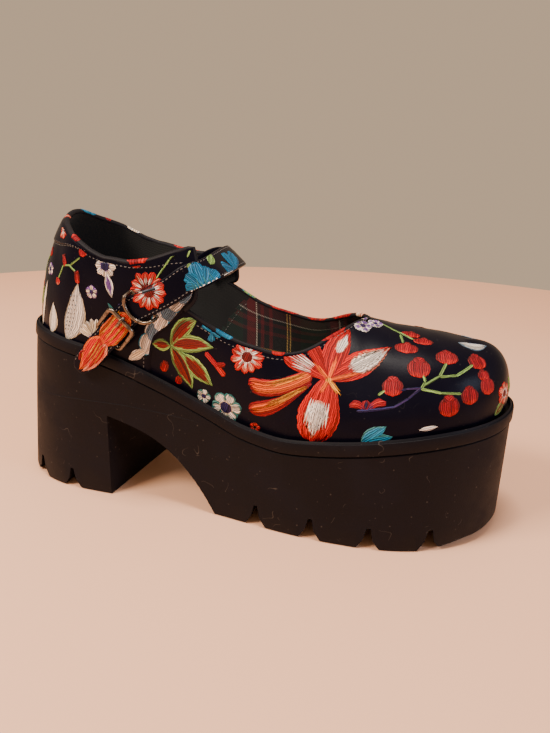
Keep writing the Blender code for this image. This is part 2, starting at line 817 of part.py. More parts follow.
def make_tab(parts, material):
    """Leather tab under the tip of the strap, folded round the frame's lower bar."""
    centre, run, width, face = buckle_axes()
    bar = centre + run * (FRAME_LENGTH - FRAME_WIRE) / 2
    run, width, face = strap_frame(TAB_LOOK)[1:]
    half = strap_half_width(FRAME_CENTRE) - FRAME_WIRE
    inner = FRAME_WIRE / 2 + CLEARANCE
    outer = inner + TAB_THICKNESS
    profile = []
    for k in range(9):
        angle = math.radians(150 + 15 * k)
        profile.append((outer * math.cos(angle), outer * math.sin(angle)))
    profile.append((TAB_LENGTH, -outer))
    profile.append((TAB_LENGTH, -inner))
    for k in range(9):
        angle = math.radians(270 - 15 * k)
        profile.append((inner * math.cos(angle), inner * math.sin(angle)))
    shape = bmesh.new()
    rows = []
    for side in (-1, 1):
        rows.append([shape.verts.new(bar + run * u + face * v + width * half * side) for u, v in profile])
    strip(shape, rows[0], rows[1], closed=True)
    for row in rows:
        shape.faces.new(row)
    return mesh_object("buckle_tab", shape, parts, material)


def main():
    for thing in list(bpy.data.objects):
        bpy.data.objects.remove(thing, do_unlink=True)
    parts = new_collection("platform_shoe")
    cutters = new_collection("cutters")
    rubber = principled("sole_rubber", (0.035, 0.031, 0.030), 0.62)
    leather = principled("upper_leather", (0.018, 0.017, 0.022), 0.38)
    lining = principled("insole_lining", (0.020, 0.019, 0.019), 0.85)
    bronze = principled("buckle_bronze", (0.27, 0.21, 0.16), 0.34, metallic=1.0)
    make_outsole(parts, cutters, rubber)
    make_insole(parts, lining)
    make_upper(parts, leather)
    make_strap(parts, cutters, leather)
    make_frame(parts, bronze)
    make_prong(parts, bronze)
    make_loop(parts, bronze)
    make_tab(parts, leather)
    for collection in (parts, cutters):
        for thing in collection.objects:
            thing.location.x = -TREAD_CENTRE


main()
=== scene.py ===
"""Looks of the platform shoe: leather, embroidery, lining, moulded sole, strap and buckle.

Metres, in the frame of the solids: +X to the toe, +Y to the inner side, +Z up.
"""

import math

import bmesh
import bpy
import numpy as np
from mathutils import Matrix, Vector


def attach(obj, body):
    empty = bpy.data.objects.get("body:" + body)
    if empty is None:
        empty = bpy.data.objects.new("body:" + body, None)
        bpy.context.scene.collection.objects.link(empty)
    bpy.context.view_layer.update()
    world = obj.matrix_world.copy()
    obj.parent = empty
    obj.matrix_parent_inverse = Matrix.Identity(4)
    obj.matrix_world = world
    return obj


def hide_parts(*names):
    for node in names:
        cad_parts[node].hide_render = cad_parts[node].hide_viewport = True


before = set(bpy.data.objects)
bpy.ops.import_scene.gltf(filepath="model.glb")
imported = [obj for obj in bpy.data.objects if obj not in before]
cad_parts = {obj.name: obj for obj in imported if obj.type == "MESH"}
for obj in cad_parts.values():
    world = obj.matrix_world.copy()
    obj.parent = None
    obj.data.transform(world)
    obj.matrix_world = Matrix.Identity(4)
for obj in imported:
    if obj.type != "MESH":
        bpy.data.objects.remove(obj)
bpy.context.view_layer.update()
rng = np.random.default_rng(11)

# Driving dimensions, the same as the solids have
SOLE_LENGTH = 0.270
BALL_WIDTH = 0.0945
HEEL_HEIGHT = 0.0895
HEEL_FLARE = 0.0115
SIDE_FLARE = 0.0022
HEEL_CAP = 0.038
TOE_CAP_OUTER = 0.072
TOE_CAP_INNER = 0.064
TOE_SHIFT = 0.005
HEEL_LENGTH = 0.0640
BREAST_SLANT = 0.014
ARCH_HEIGHT = 0.0465
PLATFORM_START = 0.1275
BAND_HEIGHT = 0.0068
BAND_STEP = 0.0008
BEAD_INSET = 0.0016
LIP_WIDTH = 0.0021
SEAT_DEPTH = 0.0030
TOE_CHAMFER = 0.0055
HEEL_CHAMFER = 0.0028
SIDE_CHAMFER = 0.0008
LUG_PITCH = 0.0285
LUG_GAP = 0.0115
NOTCH_HEIGHT = 0.0115
NOTCH_DEPTH = 0.027
HEEL_LUG_PITCH = 0.0240
FIRST_HEEL_NOTCH = 0.0185
UPPER_RISE = 0.100
WALL = 0.0020
QUARTER_STEP = 0.0010
FEATHER_INSET = 0.0040
ANKLE_BACK = 0.070
ANKLE_SOFTNESS = 0.030
TOE_FAN = 0.065
TOE_SETBACK = 0.0285
INSOLE_THICKNESS = 0.0026
STRAP_WIDTH = 0.0146
STRAP_THICKNESS = 0.0020
STRAP_HOLE = 0.0026
FRAME_WIRE = 0.0022
FRAME_LENGTH = 0.0198
LOOP_WIRE = 0.0018
LOOP_REACH = 0.0070
LOOP_SWING = math.radians(20)
PRONG_WIRE = 0.0013
TAB_THICKNESS = 0.0009
CLEARANCE = 0.0003
TREAD_CENTRE = HEEL_LENGTH / 2
BUCKLE_LIFT = CLEARANCE * 2 + LOOP_WIRE
FRAME_CENTRE = 0.8235
LOOP_CENTRE = 0.7306
THROAT = 0.720

RIM_WIDTHS = [
    (0.045, 0.355, 0.355), (0.150, 0.372, 0.372), (0.240, 0.384, 0.378),
    (0.340, 0.385, 0.362), (0.450, 0.408, 0.372), (0.540, 0.448, 0.405),
    (0.620, 0.484, 0.442), (0.700, 0.500, 0.468), (0.760, 0.500, 0.474),
    (1.000, 0.500, 0.474),
]
RIM_HEIGHTS = [
    (0.045, 1.000), (0.110, 0.985), (0.180, 0.952), (0.240, 0.912),
    (0.350, 0.797), (0.450, 0.680), (0.530, 0.592), (0.600, 0.565),
    (0.700, 0.596), (0.800, 0.645), (0.890, 0.685), (1.000, 0.715),
]
RIDGE_RISES = [
    (0.259, 0.995), (0.333, 1.045), (0.400, 1.000), (0.452, 0.872),
    (0.496, 0.745), (0.556, 0.645), (0.622, 0.578), (0.674, 0.528),
    (0.722, 0.478), (0.785, 0.415), (0.837, 0.376), (0.896, 0.333),
]
SECTIONS = [
    (0.043, 0.25, 0.81, 0.286, -0.010), (0.111, 0.30, 0.80, 0.200, -0.016),
    (0.185, 0.38, 0.92, 0.080, 0.010), (0.278, 0.45, 1.08, 0.000, 0.037),
    (0.370, 0.48, 1.08, 0.000, 0.048), (0.463, 0.50, 1.02, 0.000, 0.058),
    (0.556, 0.52, 0.95, 0.000, 0.053), (0.622, 0.52, 0.66, 0.000, 0.037),
    (0.674, 0.50, 0.46, 0.000, 0.026), (0.741, 0.50, 0.50, 0.000, 0.021),
    (0.870, 0.60, 0.60, 0.000, 0.026), (1.000, 0.68, 0.72, 0.000, 0.026),
]
COLLAR_LINE = [
    (0.043, 0.640, 0.640), (0.070, 0.598, 0.595), (0.117, 0.535, 0.528),
    (0.197, 0.427, 0.415), (0.229, 0.389, 0.377), (0.261, 0.369, 0.358),
    (0.297, 0.374, 0.356), (0.336, 0.407, 0.368), (0.364, 0.452, 0.390),
    (0.392, 0.515, 0.432), (0.418, 0.605, 0.505),
]
VAMP_LINE = [
    (0.412, 0.332), (0.447, 0.355), (0.480, 0.385), (0.507, 0.412),
    (0.547, 0.448), (0.590, 0.476), (0.617, 0.508), (0.643, 0.572),
    (0.670, 0.680), (0.688, 0.768), (0.704, 0.880), (0.714, 0.950),
]
FRONT_EDGE = [
    (0.000, 0.337), (0.056, 0.340), (0.154, 0.353), (0.234, 0.385),
    (0.332, 0.412), (0.433, 0.430), (0.520, 0.430), (0.605, 0.418),
]
STRAP_ROOT = [
    (0.360, 0.325),
    (0.383, 0.385),
    (0.403, 0.435),
]
STRAP_BRIDGE = [
    (0.424, 0.258, 0.579, 16.0, 66.0), (0.443, 0.190, 0.630, 36.0, 40.0),
    (0.455, 0.085, 0.662, 44.0, 12.0), (0.458, -0.042, 0.672, 46.0, -4.0),
    (0.459, -0.169, 0.670, 44.0, -18.0), (0.457, -0.283, 0.662, 36.0, -34.0),
    (0.446, -0.362, 0.638, 20.0, -62.0),
]
STRAP_WALL = [
    (0.4190, 0.470, 0.80), (0.3920, 0.372, 0.90), (0.3583, 0.297, 1.25),
    (0.3174, 0.223, 1.55), (0.2863, 0.143, 2.05), (0.2591, 0.080, 2.25),
    (0.2346, 0.017, 2.20), (0.1985, -0.087, 2.10),
]


def read(rows, x, column=1):
    """Smooth, overshoot-free reading of one column of a table at every x."""
    xs = np.array([row[0] for row in rows])
    ys = np.array([row[column] for row in rows])
    chords = np.diff(ys) / np.diff(xs)
    slopes = np.zeros(len(xs))
    slopes[0] = chords[0]
    slopes[-1] = chords[-1]
    same = chords[:-1] * chords[1:] > 0
    total = np.where(same, chords[:-1] + chords[1:], 1.0)
    slopes[1:-1] = np.where(same, 2 * chords[:-1] * chords[1:] / total, 0.0)
    x = np.clip(np.asarray(x, dtype=float), xs[0], xs[-1])
    i = np.clip(np.searchsorted(xs, x, side="right") - 1, 0, len(chords) - 1)
    step = np.diff(xs)[i]
    s = (x - xs[i]) / step
    start = (1 + 2 * s) * (1 - s) ** 2 * ys[i] + s * (1 - s) ** 2 * step * slopes[i]
    return start + s * s * (3 - 2 * s) * ys[i + 1] + s * s * (s - 1) * step * slopes[i + 1]


def unit(v):
    return v / np.maximum(np.linalg.norm(v, axis=-1, keepdims=True), 1e-12)


def stack(x, y, z):
    return np.stack(np.broadcast_arrays(x, y, z), axis=-1)


def smooth(a, b, x):
    s = np.clip((np.asarray(x, dtype=float) - a) / (b - a), 0.0, 1.0)
    return s * s * (3 - 2 * s)


def plan(turn):
    """Rim outline seen from above: turn 0 is the back, pi the toe, the outer side between."""
    turn = np.mod(turn, 2 * math.pi)
    side = np.where(turn <= math.pi, -1.0, 1.0)
    x = HEEL_FLARE + (SOLE_LENGTH - HEEL_FLARE) * (1 - np.cos(turn)) / 2
    outer = read(RIM_WIDTHS, x / SOLE_LENGTH, 1)
    half = BALL_WIDTH * np.where(side < 0, outer, read(RIM_WIDTHS, x / SOLE_LENGTH, 2))
    heel = np.minimum(1.0, (x - HEEL_FLARE) / HEEL_CAP)
    cap = np.where(side < 0, TOE_CAP_OUTER, TOE_CAP_INNER)
    toe = np.minimum(1.0, (SOLE_LENGTH - x) / cap)
    shift = TOE_SHIFT * np.maximum(0.0, 1 - (1 - x / SOLE_LENGTH) / 0.4) ** 2
    half = half * np.sqrt(np.maximum(0.0, heel * (2 - heel))) - side * shift
    half = half * np.sqrt(np.maximum(0.0, toe * (2 - toe)))
    return x, side * half + shift


def turn_at(x):
    """Turn of the outer side at a distance x from the back."""
    share = (np.asarray(x, dtype=float) - HEEL_FLARE) / (SOLE_LENGTH - HEEL_FLARE)
    return np.arccos(np.clip(1 - 2 * share, -1.0, 1.0))


def inset(turn, distance):
    """Rim outline moved inwards by a distance."""
    step = 0.002
    x0, y0 = plan(turn - step)
    x1, y1 = plan(turn + step)
    run = np.hypot(x1 - x0, y1 - y0)
    x, y = plan(turn)
    return x - (y1 - y0) / run * distance, y + (x1 - x0) / run * distance


def rim_height(x):
    return HEEL_HEIGHT * read(RIM_HEIGHTS, x / SOLE_LENGTH)


def ridge_x(x):
    past = x - ANKLE_BACK
    along = ANKLE_BACK + (past + np.hypot(past, ANKLE_SOFTNESS)) / 2
    over = np.maximum(0.0, x - SOLE_LENGTH + TOE_FAN)
    return along - TOE_SETBACK * (over / TOE_FAN) ** 2


def ridge_height(x):
    return rim_height(x) + UPPER_RISE * read(RIDGE_RISES, x / SOLE_LENGTH)


def skin(turn, share):
    """Points of the last's surface, on the way from the rim (0) to the ridge (1)."""
    turn, share = np.broadcast_arrays(np.asarray(turn, float), np.asarray(share, float))
    x = plan(turn)[0]
    station = x / SOLE_LENGTH
    bx, by = inset(turn, FEATHER_INSET)
    foot = stack(bx, by, rim_height(x) - SEAT_DEPTH + CLEARANCE)
    crown_x = ridge_x(x)
    top = stack(crown_x, 0.0, ridge_height(crown_x))
    rise = top[..., 2] - foot[..., 2]
    outward = stack(foot[..., 0] - top[..., 0], foot[..., 1], 0.0)
    reach = np.linalg.norm(outward, axis=-1)
    outward = unit(outward)
    wall = read(SECTIONS, station, 1)
    crown = read(SECTIONS, station, 2)
    drop = read(SECTIONS, station, 3)
    swell = read(SECTIONS, station, 4)
    step = 0.001
    slope = (ridge_height(crown_x + step) - ridge_height(crown_x - step)) / (2 * step)
    fan = np.clip((station - 0.74) / 0.15, 0.0, 1.0)
    lower = foot + outward * (swell * BALL_WIDTH)[..., None]
    lower[..., 2] += wall * rise
    upper = top + outward * (crown * reach)[..., None]
    upper[..., 2] += fan * slope * outward[..., 0] * crown * reach - drop * rise
    s = share[..., None]
    r = 1 - s
    return r ** 3 * foot + 3 * r * r * s * lower + 3 * r * s * s * upper + s ** 3 * top


def skin_normal(turn, share):
    share = np.minimum(share, 0.985)
    step = 0.004
    along = skin(turn + step, share) - skin(turn - step, share)
    up = skin(turn, share + step) - skin(turn, share - step)
    return unit(np.cross(along, up))


def skin_point(turn, share, lift):
    return skin(turn, share) + skin_normal(turn, share) * np.asarray(lift)[..., None]


def place(points):
    """Moves points from the back of the heel to the frame of the solids."""
    return points - np.array([TREAD_CENTRE, 0.0, 0.0])


def new_mesh(name, shape):
    mesh = bpy.data.meshes.new(name)
    shape.to_mesh(mesh)
    shape.free()
    return mesh


def new_object(name, data):
    """Object for a mesh, a camera or a lamp, linked to the scene."""
    thing = bpy.data.objects.new(name, data)
    bpy.context.scene.collection.objects.link(thing)
    return thing


def patchwork(name, patches, materials, at_angle=50.0, merge=0.0, turn_out=False):
    """One piece from many small grids, each bent into place by its own rule.

    A patch is (columns, rows, rule, paint, spread): rule maps u and v, both from 0 to 1, to points;
    paint gives the material of a face at u and v; spread gives the UV map in metres.
    """
    shape = bmesh.new()
    for columns, rows, rule, paint, spread in patches:
        bmesh.ops.create_grid(shape, x_segments=columns, y_segments=rows, size=0.5)
    mesh = new_mesh(name, shape)
    count = len(mesh.vertices)
    flat = np.empty(count * 3)
    mesh.vertices.foreach_get("co", flat)
    flat = flat.reshape(-1, 3) + 0.5
    loops = np.empty(len(mesh.loops), dtype=np.int64)
    mesh.loops.foreach_get("vertex_index", loops)
    corners = loops.reshape(-1, 4)
    points = np.empty_like(flat)
    uv = np.zeros((count, 2))
    index = np.zeros(len(corners), dtype=np.int32)
    v0 = 0
    f0 = 0
    for columns, rows, rule, paint, spread in patches:
        v1 = v0 + (columns + 1) * (rows + 1)
        f1 = f0 + columns * rows
        u = flat[v0:v1, 0]
        v = flat[v0:v1, 1]
        points[v0:v1] = place(rule(u, v))
        if spread is not None:
            uv[v0:v1] = spread(u, v)
        if paint is not None:
            middle = flat[corners[f0:f1]].mean(axis=1)
            index[f0:f1] = paint(middle[:, 0], middle[:, 1])
        v0 = v1
        f0 = f1
    mesh.vertices.foreach_set("co", points.ravel())
    mesh.polygons.foreach_set("material_index", index)
    layer = mesh.uv_layers.new(name="weave")
    layer.data.foreach_set("uv", uv[loops].ravel())
    mesh.update()
    if merge or turn_out:
        shape = bmesh.new()
        shape.from_mesh(mesh)
        if merge:
            bmesh.ops.remove_doubles(shape, verts=shape.verts, dist=merge)
        if turn_out:
            bmesh.ops.recalc_face_normals(shape, faces=shape.faces)
        shape.to_mesh(mesh)
        shape.free()
    mesh.shade_smooth()
    mesh.set_sharp_from_angle(angle=math.radians(at_angle))
    for material in materials:
        mesh.materials.append(material)
    piece = new_object(name, mesh)
    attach(piece, "root")
    return piece


# Camera

CAMERA_PLACE = (0.19143, -0.30049, 0.18173)
CAMERA_ANGLES = (14.15, 19.78, 1.255)
SENSOR_WIDTH = 36.0
FOCAL_SHARE = 616.17 / 550


def aim_camera():
    yaw, pitch, roll = map(math.radians, CAMERA_ANGLES)
    back = Vector((math.sin(yaw) * math.cos(pitch), -math.cos(yaw) * math.cos(pitch), math.sin(pitch)))
    right = (-back).cross(Vector((0, 0, 1))).normalized()
    up = right.cross(-back)
    tilted = right * math.cos(roll) + up * math.sin(roll)
    upright = -right * math.sin(roll) + up * math.cos(roll)
    lens = bpy.data.cameras.new("camera")
    lens.sensor_fit = "HORIZONTAL"
    lens.sensor_width = SENSOR_WIDTH
    lens.lens = FOCAL_SHARE * SENSOR_WIDTH
    lens.clip_start = 0.01
    camera = new_object("camera", lens)
    turned = Matrix((tilted, upright, back)).transposed().to_4x4()
    camera.matrix_world = Matrix.Translation(CAMERA_PLACE) @ turned
    bpy.context.scene.camera = camera


# Materials

class Nodes:
    """Short way to add and join shader nodes in one tree."""

    def __init__(self, tree):
        self.tree = tree

    def add(self, kind, inputs=None, **settings):
        node = self.tree.nodes.new(kind)
        for key, value in settings.items():
            setattr(node, key, value)
        for key, value in (inputs or {}).items():
            self.feed(node.inputs[key], value)
        return node

    def feed(self, socket, value):
        if isinstance(value, bpy.types.NodeSocket):
            self.tree.links.new(value, socket)
        else:
            socket.default_value = value

    def math(self, operation, a, b=0.0, clamp=False):
        node = self.add("ShaderNodeMath", operation=operation, use_clamp=clamp)
        self.feed(node.inputs[0], a)
        self.feed(node.inputs[1], b)
        return node.outputs[0]

    def ramp(self, value, low, high, to_low=0.0, to_high=1.0):
        node = self.add("ShaderNodeMapRange", interpolation_type="SMOOTHSTEP")
        self.feed(node.inputs["Value"], value)
        self.feed(node.inputs["From Min"], low)
        self.feed(node.inputs["From Max"], high)
        self.feed(node.inputs["To Min"], to_low)
        self.feed(node.inputs["To Max"], to_high)
        return node.outputs["Result"]

    def mix(self, factor, a, b, blend="MIX"):
        node = self.add("ShaderNodeMix", data_type="RGBA", blend_type=blend)
        self.feed(node.inputs[0], factor)
        self.feed(node.inputs[6], a)
        self.feed(node.inputs[7], b)
        return node.outputs[2]

    def noise(self, vector, scale, detail=3.0, roughness=0.55, distortion=0.0):
        node = self.add("ShaderNodeTexNoise", {"Scale": scale, "Detail": detail, "Roughness": roughness,
                                               "Distortion": distortion})
        if vector is not None:
            self.feed(node.inputs["Vector"], vector)
        return node.outputs["Fac"]

    def coords(self):
        return self.add("ShaderNodeTexCoord").outputs["Object"]

    def weave(self):
        return self.add("ShaderNodeUVMap", uv_map="weave").outputs["UV"]

    def split(self, vector):
        return self.add("ShaderNodeSeparateXYZ", {"Vector": vector}).outputs


def new_group(name, inputs, outputs):
    tree = bpy.data.node_groups.new(name, "ShaderNodeTree")
    for label, kind, value in inputs:
        socket = tree.interface.new_socket(label, in_out="INPUT", socket_type=kind)
        if value is not None:
            socket.default_value = value
    for label, kind in outputs:
        tree.interface.new_socket(label, in_out="OUTPUT", socket_type=kind)
    source = tree.nodes.new("NodeGroupInput").outputs
    return tree, Nodes(tree), source, tree.nodes.new("NodeGroupOutput").inputs


def leather_grain_group():
    """Fine pebbled grain with pores, as height, and slow blotches, as a mask."""
    tree, nodes, source, sink = new_group(
        "leather_grain",
        [("Vector", "NodeSocketVector", None), ("Scale", "NodeSocketFloat", 900.0)],
        [("Height", "NodeSocketFloat"), ("Blotch", "NodeSocketFloat")])
    vector = source["Vector"]
    cells = nodes.add("ShaderNodeTexVoronoi", {"Vector": vector, "Scale": source["Scale"]},
                      feature="F1")
    pebble = nodes.math("MULTIPLY", cells.outputs["Distance"], 0.6)
    fine = nodes.noise(vector, 2600.0, 2.0)
    height = nodes.math("ADD", pebble, nodes.math("MULTIPLY", fine, 0.4))
    nodes.feed(sink["Height"], height)
    nodes.feed(sink["Blotch"], nodes.noise(vector, 60.0, 4.0))
    return tree


def dust_group():
    """Specks of dust and short curled fibres lying on a surface, as a mask."""
    tree, nodes, source, sink = new_group(
        "dust",
        [("Vector", "NodeSocketVector", None), ("Specks", "NodeSocketFloat", 0.5),
         ("Fibres", "NodeSocketFloat", 0.5)],
        [("Mask", "NodeSocketFloat"), ("Film", "NodeSocketFloat")])
    vector = source["Vector"]
    specks = nodes.add("ShaderNodeTexVoronoi", {"Vector": vector, "Scale": 420.0}, feature="F1")
    dots = nodes.ramp(specks.outputs["Distance"], 0.10, 0.22, 1.0, 0.0)
    chosen = nodes.ramp(nodes.noise(vector, 330.0, 1.0), 0.60, 0.66)
    dots = nodes.math("MULTIPLY", nodes.math("MULTIPLY", dots, chosen), source["Specks"])
    bend = nodes.noise(vector, 55.0, 2.0, 0.6)
    line = nodes.math("ABSOLUTE", nodes.math("SUBTRACT", bend, 0.5))
    line = nodes.ramp(line, 0.0010, 0.0032, 1.0, 0.0)
    broken = nodes.ramp(nodes.noise(vector, 95.0, 1.0), 0.60, 0.64)
    fibres = nodes.math("MULTIPLY", nodes.math("MULTIPLY", line, broken), source["Fibres"])
    nodes.feed(sink["Mask"], nodes.math("MAXIMUM", dots, fibres))
    nodes.feed(sink["Film"], nodes.ramp(nodes.noise(vector, 38.0, 5.0, 0.62), 0.42, 0.72))
    return tree


def thread_group():
    """Close-laid embroidery thread: parallel strands across U, twisted along V."""
    tree, nodes, source, sink = new_group(
        "thread",
        [("UV", "NodeSocketVector", None), ("Pitch", "NodeSocketFloat", 0.0006)],
        [("Height", "NodeSocketFloat"), ("Tone", "NodeSocketFloat")])
    split = nodes.split(source["UV"])
    across = nodes.math("DIVIDE", split["X"], source["Pitch"])
    wander = nodes.noise(source["UV"], 260.0, 2.0)
    across = nodes.math("ADD", across, nodes.math("MULTIPLY", wander, 1.6))
    strand = nodes.math("ABSOLUTE", nodes.math("SUBTRACT", nodes.math("FRACT", across), 0.5))
    ridge = nodes.ramp(strand, 0.0, 0.5, 1.0, 0.0)
    number = nodes.math("FLOOR", across)
    own = nodes.add("ShaderNodeTexWhiteNoise", noise_dimensions="1D")
    nodes.feed(own.inputs["W"], number)
    along = nodes.noise(source["UV"], 900.0, 1.0)
    tone = nodes.math("ADD", nodes.math("MULTIPLY", own.outputs["Value"], 0.6),
                      nodes.math("MULTIPLY", along, 0.4))
    nodes.feed(sink["Height"], ridge)
    nodes.feed(sink["Tone"], tone)
    return tree


def use_group(nodes, name, inputs):
    node = nodes.add("ShaderNodeGroup")
    node.node_tree = GROUPS[name]
    for key, value in inputs.items():
        nodes.feed(node.inputs[key], value)
    return node.outputs


def new_material(name, color, roughness, metallic=0.0):
    material = bpy.data.materials.new(name)
    material.use_nodes = True
    shader = material.node_tree.nodes["Principled BSDF"]
    shader.inputs["Base Color"].default_value = (*color, 1.0)
    shader.inputs["Roughness"].default_value = roughness
    shader.inputs["Metallic"].default_value = metallic
    return material, Nodes(material.node_tree), shader


def bump(nodes, shader, height, strength, distance):
    node = nodes.add("ShaderNodeBump", {"Strength": strength, "Distance": distance, "Height": height})
    nodes.feed(shader.inputs["Normal"], node.outputs["Normal"])


def leather_material(name, color, roughness, dusty=0.15):
    material, nodes, shader = new_material(name, color, roughness)
    coords = nodes.coords()
    grain = use_group(nodes, "leather_grain", {"Vector": coords, "Scale": 850.0})
    dust = use_group(nodes, "dust", {"Vector": coords, "Specks": dusty, "Fibres": dusty * 0.5})
    dark = (*color, 1.0)
    light = (*[min(1.0, c * 1.9 + 0.0015) for c in color], 1.0)
    base = nodes.mix(grain["Blotch"], dark, light)
    base = nodes.mix(dust["Mask"], base, (0.12, 0.11, 0.10, 1.0))
    nodes.feed(shader.inputs["Base Color"], base)
    rough = nodes.math("ADD", roughness - 0.06, nodes.math("MULTIPLY", grain["Blotch"], 0.14))
    nodes.feed(shader.inputs["Roughness"], rough)
    shader.inputs["Specular IOR Level"].default_value = 0.08
    bump(nodes, shader, grain["Height"], 0.22, 0.00012)
    return material


def rubber_material():
    color = (0.0024, 0.0020, 0.0044)
    material, nodes, shader = new_material("dusty_rubber", color, 0.66)
    shader.inputs["Specular IOR Level"].default_value = 0.15
    coords = nodes.coords()
    dust = use_group(nodes, "dust", {"Vector": coords, "Specks": 0.55, "Fibres": 0.75})
    base = nodes.mix(nodes.math("MULTIPLY", dust["Film"], 0.75), (*color, 1.0), (0.0080, 0.0062, 0.0094, 1.0))
    base = nodes.mix(dust["Mask"], base, (0.075, 0.062, 0.053, 1.0))
    nodes.feed(shader.inputs["Base Color"], base)
    rough = nodes.math("ADD", 0.56, nodes.math("MULTIPLY", dust["Film"], 0.20))
    nodes.feed(shader.inputs["Roughness"], rough)
    grain = use_group(nodes, "leather_grain", {"Vector": coords, "Scale": 1500.0})
    bump(nodes, shader, grain["Height"], 0.30, 0.00015)
    return material


def bronze_material():
    color = (0.14, 0.105, 0.078)
    material, nodes, shader = new_material("aged_bronze", color, 0.34, metallic=1.0)
    coords = nodes.coords()
    patina = nodes.noise(coords, 420.0, 4.0, 0.6)
    spots = nodes.ramp(patina, 0.45, 0.66)
    base = nodes.mix(spots, (0.215, 0.165, 0.125, 1.0), (0.075, 0.056, 0.044, 1.0))
    nodes.feed(shader.inputs["Base Color"], base)
    nodes.feed(shader.inputs["Roughness"], nodes.math("ADD", 0.24, nodes.math("MULTIPLY", spots, 0.26)))
    bump(nodes, shader, nodes.noise(coords, 1500.0, 2.0), 0.25, 0.0001)
    return material


def thread_look(nodes, shader, color, pitch, depth):
    """Darkens the gaps between strands with painted shade, makes some strands lighter and some darker at
    random, and lifts them a little.
    """
    uv = nodes.weave()
    thread = use_group(nodes, "thread", {"UV": uv, "Pitch": pitch})
    tone = nodes.ramp(thread["Tone"], 0.10, 0.65, 0.55, 1.12)
    # Painted shade: between strands the colour drops to 1 - depth of itself, as if in the shadow of the
    # strands beside.
    painted_gap_shade = nodes.ramp(thread["Height"], 0.0, 0.45, 1 - depth, 1.0)
    value = nodes.math("MULTIPLY", tone, painted_gap_shade)
    shade = nodes.add("ShaderNodeCombineColor")
    for label in ("Red", "Green", "Blue"):
        nodes.feed(shade.inputs[label], value)
    base = nodes.mix(1.0, color, shade.outputs["Color"], blend="MULTIPLY")
    nodes.feed(shader.inputs["Base Color"], base)
    bump(nodes, shader, thread["Height"], 0.5, 0.00025)


def embroidery_material():
    """Coloured thread: the colour of each strand is sewn into the mesh as an attribute."""
    material, nodes, shader = new_material("embroidery_thread", (0.5, 0.1, 0.1), 0.55)
    shader.inputs["Specular IOR Level"].default_value = 0.20
    color = nodes.add("ShaderNodeAttribute", attribute_name="thread").outputs["Color"]
    thread_look(nodes, shader, color, 0.00095, 0.78)
    return material


def stitch_material():
    grey = (0.20, 0.18, 0.17)
    material, nodes, shader = new_material("topstitch_thread", grey, 0.6)
    thread_look(nodes, shader, (*grey, 1.0), 0.00030, 0.3)
    return material


def cloth_material(name, color):
    material, nodes, shader = new_material(name, color, 0.9)
    uv = nodes.weave()
    split = nodes.split(uv)
    pitch = 0.0007
    warp = nodes.math("PINGPONG", nodes.math("DIVIDE", split["X"], pitch), 1.0)
    weft = nodes.math("PINGPONG", nodes.math("DIVIDE", split["Y"], pitch), 1.0)
    height = nodes.math("MULTIPLY", warp, weft)
    mottled = nodes.noise(uv, 70.0, 4.0)
    base = nodes.mix(mottled, (*[c * 0.6 for c in color], 1.0), (*[c * 1.5 for c in color], 1.0))
    nodes.feed(shader.inputs["Base Color"], base)
    shader.inputs["Sheen Weight"].default_value = 0.05
    bump(nodes, shader, height, 0.4, 0.0002)
    return material


def tartan_material():
    """Woven check: black and green grounds, dark red bars, thin yellow and pale lines."""
    material, nodes, shader = new_material("tartan_lining", (0.02, 0.02, 0.02), 0.85)
    uv = nodes.weave()
    split = nodes.split(uv)
    repeat = 0.050

    def band(axis, start, end):
        shifted = nodes.math("ADD", split[axis], 0.033 if axis == "Y" else 0.011)
        place_in = nodes.math("FRACT", nodes.math("DIVIDE", shifted, repeat))
        after = nodes.math("GREATER_THAN", place_in, start)
        before = nodes.math("LESS_THAN", place_in, end)
        return nodes.math("MULTIPLY", after, before)

    black = (0.006, 0.006, 0.007, 1.0)
    green = (0.005, 0.019, 0.012, 1.0)
    red = (0.092, 0.006, 0.009, 1.0)
    yellow = (0.40, 0.25, 0.07, 1.0)
    pale = (0.42, 0.34, 0.28, 1.0)

    bars = ((0.30, 0.62, green), (0.67, 0.77, red), (0.83, 0.87, red), (0.93, 0.97, red),
            (0.135, 0.150, yellow), (0.170, 0.185, yellow), (0.775, 0.790, pale))

    def threads(axis):
        color = black
        for start, end, dye in bars:
            color = nodes.mix(band(axis, start, end), color, dye)
        return color

    pitch = 0.0009
    diagonal = nodes.math("ADD", split["X"], split["Y"])
    twill = nodes.math("FRACT", nodes.math("DIVIDE", diagonal, pitch))
    over = nodes.math("GREATER_THAN", twill, 0.5)
    base = nodes.mix(over, threads("X"), threads("Y"))
    nodes.feed(shader.inputs["Base Color"], base)
    shader.inputs["Sheen Weight"].default_value = 0.1
    bump(nodes, shader, nodes.math("PINGPONG", nodes.math("MULTIPLY", twill, 2.0), 1.0), 0.4, 0.0002)
    return material


def floor_material():
    """Matt pale table top, a little uneven in tone."""
    material, nodes, shader = new_material("pale_table", (0.84, 0.66, 0.55), 0.55)
    coords = nodes.coords()
    slow = nodes.noise(coords, 3.0, 2.0)
    nodes.feed(shader.inputs["Base Color"], nodes.mix(slow, (0.97, 0.51, 0.31, 1.0), (0.97, 0.57, 0.38, 1.0)))
    return material


